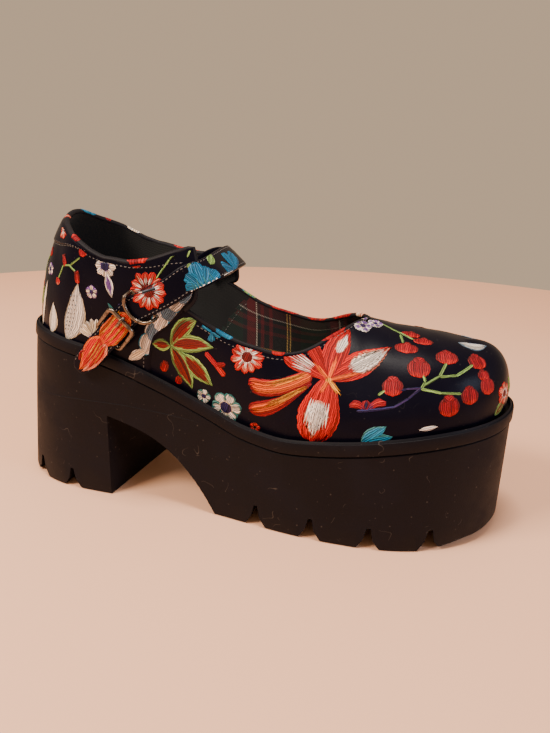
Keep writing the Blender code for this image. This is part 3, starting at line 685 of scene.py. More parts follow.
GROUPS = {"leather_grain": leather_grain_group(), "dust": dust_group(), "thread": thread_group()}
LEATHER = leather_material("black_leather", (0.0012, 0.0010, 0.0046), 0.33)
EDGE_LEATHER = leather_material("folded_edge_leather", (0.0085, 0.0078, 0.0100), 0.46)
RUBBER = rubber_material()
BRONZE = bronze_material()
BLACK_LINING = cloth_material("black_lining", (0.007, 0.0065, 0.0065))
TARTAN = tartan_material()
FOOTBED = cloth_material("footbed_cloth", (0.010, 0.009, 0.009))
EMBROIDERY = embroidery_material()
STITCH = stitch_material()
COLORS = {
    "coral": (0.60, 0.006, 0.003), "red": (0.33, 0.001, 0.008), "maroon": (0.16, 0.006, 0.006),
    "brick": (0.19, 0.009, 0.005), "orange": (0.80, 0.105, 0.006), "gold": (0.84, 0.33, 0.025),
    "cream": (0.88, 0.69, 0.48), "white": (0.92, 0.82, 0.74), "peach": (0.80, 0.25, 0.15),
    "green": (0.23, 0.40, 0.10), "teal": (0.035, 0.20, 0.20), "blue": (0.003, 0.165, 0.335),
    "sky": (0.022, 0.29, 0.50), "violet": (0.18, 0.085, 0.33), "slate": (0.13, 0.21, 0.30),
    "navy": (0.020, 0.014, 0.085), "brown": (0.14, 0.05, 0.035), "black": (0.003, 0.003, 0.004),
}
PALETTE = {name: np.array(color) for name, color in COLORS.items()}


# Sole

def sole_wall(turn, height, distance):
    """Points of the sole's side at a height, moved inwards by a distance, with the flare."""
    x, y = inset(turn, distance)
    top = rim_height(plan(turn)[0])
    flare = np.maximum(0.0, 1 - height / top) ** 0.85
    backness = np.maximum(0.0, 1 - (x - HEEL_FLARE) / (HEEL_CAP + FEATHER_INSET * 2))
    side = np.where(np.mod(turn, 2 * math.pi) <= math.pi, -1.0, 1.0)
    spread = np.minimum(1.0, np.abs(y) / (BALL_WIDTH / 4))
    return stack(x - HEEL_FLARE * backness * flare, y + side * SIDE_FLARE * spread * flare, height)


def chamfer_size(turn):
    x = plan(turn)[0] / SOLE_LENGTH
    toe = np.clip((x - 0.86) / 0.08, 0.0, 1.0)
    heel = np.clip((0.10 - x) / 0.06, 0.0, 1.0)
    return SIDE_CHAMFER + (TOE_CHAMFER - SIDE_CHAMFER) * toe + (HEEL_CHAMFER - SIDE_CHAMFER) * heel


def sole_surface(u, v):
    """Whole sole before cutting: zipped along the middle of the tread and of the seat."""
    turn = u * 2 * math.pi
    top = rim_height(plan(turn)[0])
    chamfer = chamfer_size(turn)
    lip = BAND_STEP
    band = top - BAND_HEIGHT
    seat = top - SEAT_DEPTH
    rows = [(0.0, chamfer + lip, spread) for spread in (0.0, 0.5, 1.0)]
    rows += [
        (0.10 * chamfer, 0.72 * chamfer + lip, 1.0),
        (0.65 * chamfer, 0.16 * chamfer + lip, 1.0),
        (chamfer, lip, 1.0),
    ]
    rows += [(share * top, lip, 1.0) for share in (0.20, 0.36, 0.52, 0.68, 0.82)]
    rows += [
        (band - lip * 1.5, lip, 1.0),
        (band - lip * 0.9, lip * 1.9, 1.0),
        (band - lip * 0.2, lip * 1.8, 1.0),
        (band + lip * 0.1, lip * 0.30, 1.0),
        (band + lip * 0.7, 0.0, 1.0),
        (band + BAND_HEIGHT * 0.5, 0.0, 1.0),
        (top - lip * 2.2, 0.0, 1.0),
        (top - lip * 1.2, lip * 0.25, 1.0),
        (top - lip * 0.95, lip * 0.70, 1.0),
        (top - lip * 1.55, lip * 1.05, 1.0),
        (top - lip * 0.75, lip * 1.45, 1.0),
        (top - lip * 0.05, BEAD_INSET, 1.0),
        (top - lip * 0.02, BEAD_INSET * 1.15, 1.0),
        (top - lip * 0.6, LIP_WIDTH, 1.0),
    ]
    rows += [(seat, LIP_WIDTH, spread) for spread in (1.0, 0.5, 0.0)]
    k = np.rint(v * (len(rows) - 1)).astype(int)
    heights = np.choose(k, [row[0] for row in rows])
    distances = np.choose(k, [row[1] for row in rows])
    spreads = np.array([row[2] for row in rows])[k]
    points = sole_wall(turn, heights, distances)
    points[:, 1] *= spreads
    return points


def arch_profile(count):
    """Underside of the arch as (share of the way forward, height)."""
    steps = [i / count for i in range(count + 1)]
    return [(s, ARCH_HEIGHT * (1 - 0.35 * s - 0.65 * s ** 3)) for s in steps]


def cutter_object(name, rows):
    """Closed block between two outlines with the same number of corners."""
    shape = bmesh.new()
    for ring in [[shape.verts.new(point) for point in row] for row in rows]:
        shape.faces.new(ring)
    bmesh.ops.bridge_loops(shape, edges=list(shape.edges))
    bmesh.ops.recalc_face_normals(shape, faces=shape.faces)
    return new_object(name, new_mesh(name, shape))


def arch_cutter():
    rows = []
    for side in (-1, 1):
        start = HEEL_LENGTH + (BREAST_SLANT if side > 0 else 0.0) * 1.3
        start -= (BREAST_SLANT if side < 0 else 0.0) * 0.3
        span = PLATFORM_START - start
        points = [(start, -ARCH_HEIGHT / 2)]
        points += [(start + span * s, z) for s, z in arch_profile(28)]
        points.append((PLATFORM_START, -ARCH_HEIGHT / 2))
        rows.append([(x - TREAD_CENTRE, side * BALL_WIDTH, z) for x, z in points])
    return cutter_object("arch_cutter", rows)


def notch_cutter(x, side):
    half = LUG_GAP / 2
    profile = [
        (-half * 1.15, -NOTCH_HEIGHT / 4), (-half, 0.0), (-half * 0.42, NOTCH_HEIGHT * 0.45),
        (-half * 0.16, NOTCH_HEIGHT), (half * 0.16, NOTCH_HEIGHT), (half * 0.36, NOTCH_HEIGHT * 0.45),
        (half, 0.0), (half * 1.15, -NOTCH_HEIGHT / 4),
    ]
    rows = []
    for y in (BALL_WIDTH / 2 - NOTCH_DEPTH, BALL_WIDTH):
        rows.append([(x + dx - TREAD_CENTRE, side * y, z) for dx, z in profile])
    return cutter_object("notch_cutter", rows)


SOLE_EDGE_SOFTNESS = 0.0007
SOLE_EDGE_ANGLE = math.radians(38)


def make_sole():
    """Moulded sole: the arch and the gaps between the lugs are cut out of the whole block."""
    grid = (220, 27, sole_surface, None, None)
    blank = patchwork("moulded_sole", [grid], [RUBBER], merge=1e-6, turn_out=True)
    cutters = [arch_cutter()]
    notches = [FIRST_HEEL_NOTCH, FIRST_HEEL_NOTCH + HEEL_LUG_PITCH]
    x = PLATFORM_START + LUG_PITCH - LUG_GAP / 2
    while x < SOLE_LENGTH - LUG_PITCH:
        notches.append(x)
        x += LUG_PITCH
    cutters += [notch_cutter(x, side) for x in notches for side in (-1, 1)]
    for cutter in cutters:
        modifier = blank.modifiers.new("cut", "BOOLEAN")
        modifier.operation = "DIFFERENCE"
        modifier.object = cutter
    bpy.context.view_layer.update()
    graph = bpy.context.evaluated_depsgraph_get()
    mesh = bpy.data.meshes.new_from_object(blank.evaluated_get(graph))
    blank.modifiers.clear()
    blank.data = mesh
    for cutter in cutters:
        bpy.data.objects.remove(cutter, do_unlink=True)
    soften = blank.modifiers.new("soft_edges", "BEVEL")
    soften.limit_method = "ANGLE"
    soften.angle_limit = SOLE_EDGE_ANGLE
    soften.width = SOLE_EDGE_SOFTNESS
    soften.segments = 2
    soften.use_clamp_overlap = True
    mesh.shade_smooth()
    mesh.set_sharp_from_angle(angle=math.radians(42))
    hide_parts("outsole")


MOULD_LINE = [(22.0, 0.0510), (46.0, 0.0535), (58.0, 0.0535), (69.0, 0.0520), (81.0, 0.0500)]
MOULD_LINE_WIDTH = 0.00064
MOULD_LINE_CROWN = 0.00022


def make_mould_line():
    """Fine raised line where the halves of the mould met, on both sides of the waist."""
    def side_rule(inner):
        def rule(u, v):
            degrees = MOULD_LINE[0][0] + (MOULD_LINE[-1][0] - MOULD_LINE[0][0]) * u
            height = read(MOULD_LINE, degrees)
            turn = np.radians(360 - degrees if inner else degrees)
            ends = np.sin(math.pi * u) ** 0.3
            angle = math.pi * v
            bulge = BAND_STEP + 0.00005 - MOULD_LINE_CROWN * np.sin(angle) * ends
            return sole_wall(turn, height - MOULD_LINE_WIDTH / 2 * np.cos(angle), bulge)
        return rule
    lines = [(140, 6, side_rule(inner), None, None) for inner in (False, True)]
    seam = patchwork("mould_line", lines, [RUBBER])
    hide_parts("outsole")


# Upper

def edge_turn(share):
    return turn_at(SOLE_LENGTH * read(FRONT_EDGE, share))


def collar_top(station, inner):
    return np.where(inner, read(COLLAR_LINE, station, 2), read(COLLAR_LINE, station, 1))


# The quarter's front edge meets the vamp's topline at CORNER, a share KNEE of the way up its grid
CORNER = VAMP_LINE[0][1]
EDGE_TOP = FRONT_EDGE[-1][0]
KNEE = 12 / 17
FOOT_TURN = float(edge_turn(0.0))
VAMP_THROAT = 0.30
VAMP_TOP = VAMP_LINE + [(THROAT, 1.0)]
FOLD_MIDDLE = (QUARTER_STEP - WALL) / 2
FOLD_RADIUS = (QUARTER_STEP + WALL) / 2


def quarter_place(u, v):
    """Turn and share of the quarter: u from the outer front edge round the heel, v up."""
    across = np.abs(2 * u - 1)
    inner = u > 0.5
    lean = across ** 2
    head = FOOT_TURN * across + lean * (edge_turn(EDGE_TOP) - FOOT_TURN)
    station = plan(head)[0] / SOLE_LENGTH
    top = collar_top(station, inner)
    knee = CORNER * (lean + (1 - lean) * top / EDGE_TOP)
    low = v <= KNEE
    share = np.where(low, CORNER * v / KNEE, CORNER + (EDGE_TOP - CORNER) * (v - KNEE) / (1 - KNEE))
    level = np.where(low, knee * v / KNEE, knee + (top - knee) * (v - KNEE) / (1 - KNEE))
    turn = FOOT_TURN * across + lean * (edge_turn(share) - FOOT_TURN)
    return np.where(inner, 2 * math.pi - turn, turn), level


def vamp_place(u, v):
    """Turn and share of the vamp: u from the outer front edge round the toe, v up."""
    inner = u > 0.5
    half = np.where(inner, 1 - u, u)
    early = half < VAMP_THROAT
    i = np.clip(half / VAMP_THROAT, 0.0, 1.0)
    away = 1 - (1 - i) ** 1.5
    start = SOLE_LENGTH * FRONT_EDGE[0][1]
    x = start + (THROAT * SOLE_LENGTH - start) * away
    lean = (1 - i) ** 2
    head = turn_at(x) + lean * (edge_turn(CORNER) - FOOT_TURN)
    top = read(VAMP_TOP, plan(head)[0] / SOLE_LENGTH)
    throat_turn = float(turn_at(THROAT * SOLE_LENGTH))
    late = throat_turn + (math.pi - throat_turn) * (half - VAMP_THROAT) / (0.5 - VAMP_THROAT)
    turn = np.where(early, turn_at(x) + lean * (edge_turn(CORNER * v) - FOOT_TURN), late)
    share = np.where(early, v * top, v)
    return np.where(inner, 2 * math.pi - turn, turn), share


def crease_ends(start, end, width, amount):
    """A crease between two places given as (degrees round, share up)."""
    spots = np.array([start, end])
    first, last = skin(np.radians(spots[:, 0]), spots[:, 1])
    return first, last, width, amount


# Place along the shoe, slant, width, reach across, lowest height and depth of each walking crease
WALKING_CREASES = (
    (0.196, 0.10, 0.0060, 0.030, 0.070, 0.00055),
    (0.207, 0.16, 0.0045, 0.026, 0.072, 0.00035),
    (0.184, 0.05, 0.0055, 0.034, 0.066, 0.00030),
)
TOE_CREASES = [
    crease_ends((118.0, 0.20), (140.0, 0.44), 0.0026, 0.00042),
    crease_ends((131.0, 0.42), (164.0, 0.52), 0.0030, 0.00045),
    crease_ends((112.0, 0.12), (134.0, 0.10), 0.0028, 0.00030),
    crease_ends((246.0, 0.22), (222.0, 0.46), 0.0028, 0.00040),
    crease_ends((96.0, 0.10), (110.0, 0.30), 0.0034, 0.00025),
]


def crease_depth(points):
    """Soft walking creases across the vamp and dents beside the ball, as a small inward lift."""
    x, y, z = points.T
    depth = np.zeros(len(points))
    for cx, slant, width, reach, low, amount in WALKING_CREASES:
        line = (x - cx - slant * np.abs(y)) / width
        fade = np.exp(-(np.abs(y) / reach) ** 4) * smooth(low, low + 0.012, z)
        depth -= amount * np.exp(-line ** 2) * fade
    for start, end, width, amount in TOE_CREASES:
        way = end - start
        along = np.clip(((points - start) @ way) / (way @ way), 0.0, 1.0)
        off = np.linalg.norm(points - start - along[:, None] * way, axis=1) / width
        depth -= amount * np.sin(math.pi * along) * (1.5 * np.exp(-off ** 2) - 0.5 * np.exp(-(off / 2) ** 2))
    wave = np.sin(x * 310 + y * 140) * np.sin(x * 120 - y * 260 + z * 190)
    return depth + 0.00009 * wave


def creased_skin(turn, share, lift):
    """Points of the upper, with its creases, at a lift off the last's surface."""
    points = skin(turn, share)
    return points + skin_normal(turn, share) * (lift + crease_depth(points))[:, None]


def skin_sheet(place_rule, lift, lift_shape=None):
    def rule(u, v):
        extra = lift_shape(u, v) if lift_shape else 0.0
        return creased_skin(*place_rule(u, v), lift + extra)
    return rule


def spread_over(place_rule):
    """UV in metres: along the shoe, and down from the upper edge of the sheet."""
    def spread(u, v):
        turn, share = place_rule(u, v)
        points = skin(turn, share)
        edge = skin(*place_rule(u, np.ones_like(v)))
        return np.stack([points[:, 0], edge[:, 2] - points[:, 2]], axis=1)
    return spread


def front_step(u, v):
    """The quarter's cut front edge rolls down on to the vamp."""
    edge = np.minimum(u, 1 - u)
    s = np.clip(edge / 0.006, 0.0, 1.0)
    low = (v <= KNEE + 0.02)
    return np.where(low, -(QUARTER_STEP + 0.0002) * (1 - np.sqrt(1 - (1 - s) ** 2)), 0.0)


def roll_edge(turns, shares, middle, radius, out_sign):
    """Folded edge: a half round from the outer face over to the lining, along a line."""
    centre = skin_point(turns, shares, np.full(len(turns), middle))
    run = unit(np.gradient(centre, axis=0))
    normal = skin_normal(turns, shares)
    away = unit(np.cross(run, normal)) * out_sign

    def rule(u, v):
        at = u * (len(turns) - 1)
        i = np.clip(at.astype(int), 0, len(turns) - 2)
        s = (at - i)[:, None]
        c = centre[i] * (1 - s) + centre[i + 1] * s
        n = unit(normal[i] * (1 - s) + normal[i + 1] * s)
        a = unit(away[i] * (1 - s) + away[i + 1] * s)
        angle = (math.radians(-35) + math.radians(250) * v)[:, None]
        return c + (n * np.cos(angle) + a * np.sin(angle)) * radius
    return (len(turns), 10, rule, None, None)


def collar_line():
    return quarter_place(np.linspace(0.0, 1.0, 200), np.ones(200))


def front_line(end):
    return quarter_place(np.full(18, end), np.linspace(KNEE, 1.0, 18))


def quarter_edge():
    """The quarter's free edge in one line: up its outer front, round the collar, down its inner front."""
    outer, collar, inner = front_line(0.0), collar_line(), front_line(1.0)
    return [np.concatenate([outer[k][:-1], collar[k], inner[k][-2::-1]]) for k in range(2)]


def topline_rolls(extra):
    """Folded toplines of the vamp, outer and inner, standing out from its wall by an extra."""
    rolls = []
    for inner, out_sign in ((False, -1), (True, 1)):
        u = np.linspace(0.0, VAMP_THROAT, 110)
        turn, share = vamp_place(1 - u if inner else u, np.ones(110))
        share = np.minimum(share, 0.999)
        rolls.append(roll_edge(turn, share, -WALL / 2, WALL / 2 + extra, out_sign))
    return rolls


def lining_seam(u, v):
    """Material of a lining face: the black quarter lining reaches forward over the check."""
    turn, share = vamp_place(u, v)
    return (plan(turn)[0] / SOLE_LENGTH < seam_station(share)).astype(np.int32)


def seam_station(share):
    return 0.374 + 0.235 * share


TAB_REACH = 54.0


def tab_place(u, v):
    """Back tab: from its seam, which dips towards the front, up to the collar."""
    degrees = (2 * u - 1) * TAB_REACH
    half = np.abs(degrees)
    top = collar_top(plan(np.radians(half))[0] / SOLE_LENGTH, degrees < 0)
    low = 0.378 + 0.122 * np.cos(math.pi / 2 * half / TAB_REACH) ** 0.8
    low = np.minimum(low, top - 0.004)
    return np.mod(np.radians(degrees), 2 * math.pi), low + (top - low) * v


def tab_lift(v):
    """The tab's thickness: a rounded lower edge, thinned away at the collar."""
    return -0.0001 + 0.0007 * smooth(0.0, 0.05, v) * (1 - smooth(0.80, 1.0, v))


def make_back_tab():
    def rule(u, v):
        return creased_skin(*tab_place(u, v), QUARTER_STEP + tab_lift(v))
    tab = patchwork("back_tab", [(90, 30, rule, None, None)], [LEATHER])
    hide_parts("upper")


def make_upper():
    quarter = (200, 51, skin_sheet(quarter_place, QUARTER_STEP, front_step), None, None)
    vamp = (300, 48, skin_sheet(vamp_place, 0.0), None, None)
    outside = patchwork("quarter_leather", [quarter], [LEATHER])
    front = patchwork("vamp_leather", [vamp], [LEATHER], merge=2e-6)
    for piece in (outside, front):
        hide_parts("upper")
    rolls = [roll_edge(*quarter_edge(), FOLD_MIDDLE, FOLD_RADIUS, 1), *topline_rolls(0.0001)]
    edge = patchwork("folded_edges", rolls, [EDGE_LEATHER])
    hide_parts("upper")
    lining = (120, 34, skin_sheet(quarter_place, -WALL), None, spread_over(quarter_place))
    inside = patchwork("quarter_lining", [lining], [BLACK_LINING])
    check = (240, 44, skin_sheet(vamp_place, -WALL), lining_seam, spread_over(vamp_place))
    tartan = patchwork("vamp_lining", [check], [TARTAN, BLACK_LINING], merge=2e-6)
    for piece in (inside, tartan):
        piece.data.flip_normals()
        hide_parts("upper")


def make_footbed():
    def rule(u, v):
        turn = u * 2 * math.pi
        spread = np.clip(v / 0.8, 0.0, 1.0)
        x, y = inset(turn, FEATHER_INSET + WALL + CLEARANCE * 2)
        floor = rim_height(plan(turn)[0]) - SEAT_DEPTH + CLEARANCE * 2
        height = INSOLE_THICKNESS * (1 - np.clip((v - 0.8) / 0.2, 0.0, 1.0) ** 2)
        return stack(x, y * spread, floor + height)

    sheet = (160, 20, rule, None, lambda u, v: rule(u, v)[:, :2])
    bed = patchwork("footbed", [sheet], [FOOTBED], merge=2e-6, turn_out=True)
    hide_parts("insole")


# Strap and buckle

def strap_stations():
    centres = []
    faces = []
    under = WALL + CLEARANCE * 6 + STRAP_THICKNESS / 2
    for station, share in STRAP_ROOT:
        turn = 2 * math.pi - turn_at(station * SOLE_LENGTH)
        centres.append(skin_point(turn, share, -under))
        faces.append(skin_normal(turn, share))
    for station, across, rise, tilt, roll in STRAP_BRIDGE:
        x = station * SOLE_LENGTH
        centres.append(np.array([x, across * BALL_WIDTH, rim_height(x) + rise * UPPER_RISE]))
        tilt = math.radians(tilt)
        roll = math.radians(roll)
        faces.append(np.array([math.sin(tilt) * math.cos(roll), math.sin(roll),
                               math.cos(tilt) * math.cos(roll)]))
    for station, share, lift in STRAP_WALL:
        turn = turn_at(station * SOLE_LENGTH)
        height = QUARTER_STEP + lift * BUCKLE_LIFT + STRAP_THICKNESS / 2
        face = skin_normal(turn, max(share, 0.05))
        centres.append(skin(turn, share) + face * height)
        faces.append(face)
    return np.array(centres), np.array(faces)


CENTRES, FACES = strap_stations()


def strap_frame(along):
    """Centre, run, width and face directions of the strap at shares of its length."""
    along = np.atleast_1d(np.asarray(along, dtype=float))
    count = len(CENTRES) - 1
    at = np.clip(along, 0.0, 1.0) * count
    i = np.minimum(at.astype(int), count - 1)
    s = (at - i)[:, None]

    def corner(rows, k):
        return rows[np.clip(i + k, 0, count)]

    def blend(rows, derivative=False):
        p0, p1, p2, p3 = (corner(rows, k) for k in (-1, 0, 1, 2))
        m1 = (p2 - p0) / 2
        m2 = (p3 - p1) / 2
        if derivative:
            return ((6 * s * s - 6 * s) * p1 + (3 * s * s - 4 * s + 1) * m1
                    + (6 * s - 6 * s * s) * p2 + (3 * s * s - 2 * s) * m2)
        return ((1 + 2 * s) * (1 - s) ** 2 * p1 + s * (1 - s) ** 2 * m1
                + s * s * (3 - 2 * s) * p2 + s * s * (s - 1) * m2)

    run = unit(blend(CENTRES, derivative=True))
    face = unit(blend(FACES))
    width = unit(np.cross(face, run))
    face = unit(np.cross(run, width))
    return blend(CENTRES), run, width, face


def strap_half_width(along):
    point = np.clip((along - 0.955) / 0.045, 0.0, 1.0)
    narrow = STRAP_WIDTH / 2 * (1 - 0.14 * np.minimum(1.0, along / FRAME_CENTRE))
    return narrow * (1 - 0.62 * point ** 2)


def strap_at(along, across, lift):
    """Point of the strap: share of its length, share of its half width, height off its middle."""
    centre, run, width, face = strap_frame(along)
    half = strap_half_width(np.atleast_1d(along))
    return centre + width * (half * across)[:, None] + face * np.asarray(lift)[..., None]


def make_strap():
    """Strap with rounded edges: one closed band, drawn together at its ends."""
    half = STRAP_THICKNESS / 2

    def rule(u, v):
        along = np.clip((v - 0.012) / 0.976, 0.0, 1.0)
        close = np.clip(np.minimum(v, 1 - v) / 0.012, 0.0, 1.0)
        angle = u * 2 * math.pi
        across = np.sign(np.cos(angle)) * np.abs(np.cos(angle)) ** 0.28
        lift = np.sign(np.sin(angle)) * np.abs(np.sin(angle)) ** 0.45 * half
        padded = 1 + 0.10 * (1 - across ** 2)
        return strap_at(along, across, lift * padded * close ** 0.4)

    body = (40, 220, rule, None, lambda u, v: np.stack([u * 0.03, v * 0.2], axis=1))
    strap = patchwork("strap_leather", [body], [LEATHER], merge=2e-6, turn_out=True)
    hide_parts("strap")


def buckle_axes():
    centre, run, width, face = (part[0] for part in strap_frame(FRAME_CENTRE))
    over = (STRAP_THICKNESS + FRAME_WIRE) / 2 + CLEARANCE * 2
    under = over + TAB_THICKNESS + CLEARANCE
    tip = math.asin((over + under) / (FRAME_LENGTH - FRAME_WIRE))
    turned = np.array(Matrix.Rotation(tip, 3, Vector(width)))
    return centre + face * (over - under) / 2, turned @ run, width, turned @ face


def cast_rod(name, points, half_side, half_face, hint, closed, sides):
    """Cast piece along points, with its half thicknesses to the side and along the hint."""
    points = np.array(points)
    count = len(points)
    if closed:
        tangent = unit(np.roll(points, -1, axis=0) - np.roll(points, 1, axis=0))
    else:
        tangent = unit(np.gradient(points, axis=0))
    side = unit(np.cross(tangent, hint))
    face = unit(np.cross(side, tangent))

    def rule(u, v):
        at = v * (count if closed else count - 1)
        i = np.minimum(at.astype(int), count - 1)
        k = (i + 1) % count if closed else np.minimum(i + 1, count - 1)
        s = (at - i)[:, None]
        p = points[i] * (1 - s) + points[k] * s
        a = unit(side[i] * (1 - s) + side[k] * s)
        b = unit(face[i] * (1 - s) + face[k] * s)
        angle = (u * 2 * math.pi)[:, None]
        end = 1.0
        if not closed:
            end = np.sqrt(np.clip(1 - (1 - np.clip(np.minimum(v, 1 - v) / 0.04, 0, 1)) ** 2, 0, 1))[:, None]
        shape_a = np.sign(np.cos(angle)) * np.abs(np.cos(angle)) ** 0.8
        shape_b = np.sign(np.sin(angle)) * np.abs(np.sin(angle)) ** 0.8
        return p + (a * shape_a * half_side + b * shape_b * half_face) * end
    rod = (sides, count if closed else count * 2, rule, None, None)
    return patchwork(name, [rod], [BRONZE], merge=2e-6, turn_out=True)


def prong_place():
    reach = FRAME_LENGTH / 2 - FRAME_WIRE - STRAP_HOLE * 2
    centre = strap_frame(FRAME_CENTRE)[0][0]
    along = FRAME_CENTRE
    step = 1 / ((len(CENTRES) - 1) * 8)
    while np.linalg.norm(strap_frame(along)[0][0] - centre) < reach:
        along -= step
    return along


def make_buckle():
    centre, run, width, face = buckle_axes()
    half_run = (FRAME_LENGTH - FRAME_WIRE) / 2
    half_width = float(strap_half_width(FRAME_CENTRE)) + CLEARANCE * 2 + FRAME_WIRE / 2
    corner = FRAME_WIRE * 1.1
    points = []
    for quadrant, (a, b) in enumerate(((1, 1), (-1, 1), (-1, -1), (1, -1))):
        for k in range(9):
            angle = math.radians(90 * quadrant + 11.25 * k)
            u = a * (half_run - corner) + corner * math.cos(angle)
            v = b * (half_width - corner) + corner * math.sin(angle)
            points.append(centre + run * u + width * v)
    dense = []
    for first, second in zip(points, points[1:] + points[:1]):
        gap = np.linalg.norm(second - first)
        parts = max(1, int(gap / 0.0006))
        dense += [first + (second - first) * k / parts for k in range(parts)]
    ring = cast_rod("buckle_frame_cast", dense, FRAME_WIRE / 2, FRAME_WIRE * 0.46, face, True, 16)
    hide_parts("buckle_frame")

    bar = centre - run * half_run
    at = prong_place()
    hole, hole_run, _, hole_face = (part[0] for part in strap_frame(at))
    radius = (FRAME_WIRE + PRONG_WIRE) / 2 + CLEARANCE / 2
    rest = STRAP_THICKNESS / 2 + CLEARANCE + PRONG_WIRE / 2
    points = [hole - hole_face * STRAP_THICKNESS / 4, hole + hole_face * rest * 0.55]
    points.append(hole + hole_face * (rest + PRONG_WIRE / 2) - hole_run * PRONG_WIRE / 2)
    for k in range(15):
        angle = math.radians(35 + 12 * k)
        points.append(bar + (run * math.cos(angle) + face * math.sin(angle)) * radius)
    prong = cast_rod("buckle_prong_cast", points, PRONG_WIRE / 2 * 1.25, PRONG_WIRE / 2,
                     face * 0.3 - run, False, 12)
    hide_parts("buckle_prong")

    centre, run, width, face = (part[0] for part in strap_frame(LOOP_CENTRE))
    swing = np.array(Matrix.Rotation(LOOP_SWING, 3, Vector(face)))
    run = swing @ run
    width = swing @ width
    half = float(strap_half_width(LOOP_CENTRE)) / math.cos(LOOP_SWING) + CLEARANCE * 4 + LOOP_WIRE / 2
    over = STRAP_THICKNESS / 2 + CLEARANCE * 2 + LOOP_WIRE / 2
    points = []
    for k in range(49):
        angle = math.pi * k / 48
        bow = math.sin(angle)
        rise = over * (1 - 2 * max(0.0, 1 - 3.2 * bow))
        points.append(centre + width * half * math.cos(angle) + run * LOOP_REACH * bow + face * rise)
    for k in range(1, 12):
        across = -1 + k / 6
        points.append(centre + width * half * across - face * over)
    loop = cast_rod("keeper_loop_cast", points, LOOP_WIRE / 2, LOOP_WIRE / 2, face, True, 12)
    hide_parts("buckle_loop")
    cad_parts["buckle_tab"].data.materials.clear()
    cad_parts["buckle_tab"].data.materials.append(EDGE_LEATHER)


# Stitches

def along_line(at, distance, rows):
    return np.array([np.interp(at, distance, column) for column in rows.T])


STITCH_HALF_WIDTH = 0.00022
STITCH_SINK = 0.00006


def stitch_row(points, normals, pitch=0.0022, length=0.0013):
    """Patches for the stitches of one seam, evenly spaced along a line of points."""
    steps = np.linalg.norm(np.diff(points, axis=0), axis=1)
    distance = np.concatenate(([0.0], np.cumsum(steps)))
    patches = []
    place_at = pitch * 0.7
    while place_at < distance[-1] - pitch * 0.5:
        a = along_line(place_at - length / 2, distance, points)
        b = along_line(place_at + length / 2, distance, points)
        n = unit(along_line(place_at, distance, normals))
        side = unit(np.cross(b - a, n))

        def rule(u, v, a=a, b=b, n=n, side=side):
            angle = (math.pi * u)[:, None]
            along = v[:, None]
            arch = np.sqrt(np.clip(1 - (2 * along - 1) ** 2, 0.0, 1.0))
            return (a * (1 - along) + b * along
                    + side * np.cos(angle) * STITCH_HALF_WIDTH * (0.5 + 0.5 * arch)
                    + n * (np.sin(angle) * STITCH_HALF_WIDTH * 1.1 * arch - STITCH_SINK))
        patches.append((4, 4, rule, None, lambda u, v: np.stack([u * 0.0006, v * 0.0015], axis=1)))
        place_at += pitch
    return patches


def line_on_skin(turns, shares, lift):
    return skin_point(turns, shares, np.full(len(turns), lift)), skin_normal(turns, shares)


def make_stitches():
    rows = []
    u = np.linspace(0.012, 0.988, 400)
    turn, share = quarter_place(u, np.full(400, 0.955))
    rows += stitch_row(*line_on_skin(turn, share, QUARTER_STEP))
    for end in (0.012, 0.988):
        turn, share = quarter_place(np.full(160, end), np.linspace(0.04, 0.955, 160))
        rows += stitch_row(*line_on_skin(turn, share, QUARTER_STEP))
    for inner in (False, True):
        u = np.linspace(0.004, VAMP_THROAT, 220)
        turn, share = vamp_place(1 - u if inner else u, np.full(220, 1.0))
        points, normals = line_on_skin(turn, np.minimum(share - 0.030, 0.99), 0.0)
        rows += stitch_row(points, normals)
    u = np.linspace(0.02, 0.98, 240)
    for level in (0.10, -0.05):
        turn, share = tab_place(u, np.full(240, level))
        lift = QUARTER_STEP + (0.0005 if level > 0 else 0.0)
        rows += stitch_row(*line_on_skin(turn, share, lift), pitch=0.0020, length=0.0012)
    share = np.linspace(0.05, 1.0, 200)
    station = seam_station(share) + 0.006
    kept = share < read(VAMP_TOP, station) - 0.03
    for inner in (False, True):
        turn = turn_at(SOLE_LENGTH * station[kept])
        points, normals = line_on_skin(2 * math.pi - turn if inner else turn, share[kept], -WALL)
        rows += stitch_row(points, -normals)
    for side in (-1, 1):
        along = np.linspace(0.22, 0.985, 360)
        points = strap_at(along, np.full(360, 0.80 * side), np.full(360, STRAP_THICKNESS / 2 * 1.02))
        rows += stitch_row(points, strap_frame(along)[3])
    seams = patchwork("topstitching", rows, [STITCH], at_angle=80)
    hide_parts("upper")


# Embroidery

# Share of the height that a motif keeps below a cut edge
EDGE_MARGIN = 0.012


def bare_skin(spot):
    """Point of the upper at (degrees round, share up), with nothing trimmed off."""
    return skin(np.radians(spot[:, 0]), spot[:, 1])


def bare_strap(spot):
    return strap_at(spot[:, 0], spot[:, 1], np.zeros(len(spot)))


def half_turn(spot):
    inner = spot[:, 0] > 180
    return inner, np.radians(np.where(inner, 360 - spot[:, 0], spot[:, 0]))


def on_quarter(spot, lift):
    """Point of the quarter at (degrees round, share up), kept inside its cut edges."""
    inner, half = half_turn(spot)
    share = np.clip(spot[:, 1], 0.004, 0.99)
    half = np.clip(half, 0.01, edge_turn(share) - 0.008)
    top = collar_top(plan(half)[0] / SOLE_LENGTH, inner)
    share = np.minimum(share, top - EDGE_MARGIN)
    return creased_skin(np.where(inner, 2 * math.pi - half, half), share, QUARTER_STEP + lift)


def on_vamp(spot, lift):
    """Point of the vamp at (degrees round, share up), kept below its topline."""
    inner, half = half_turn(spot)
    station = plan(half)[0] / SOLE_LENGTH
    top = np.where(station < THROAT - 0.006, read(VAMP_LINE, station) - EDGE_MARGIN, 0.985)
    share = np.clip(spot[:, 1], 0.004, np.minimum(top, 0.985))
    return creased_skin(np.where(inner, 2 * math.pi - half, half), share, lift)


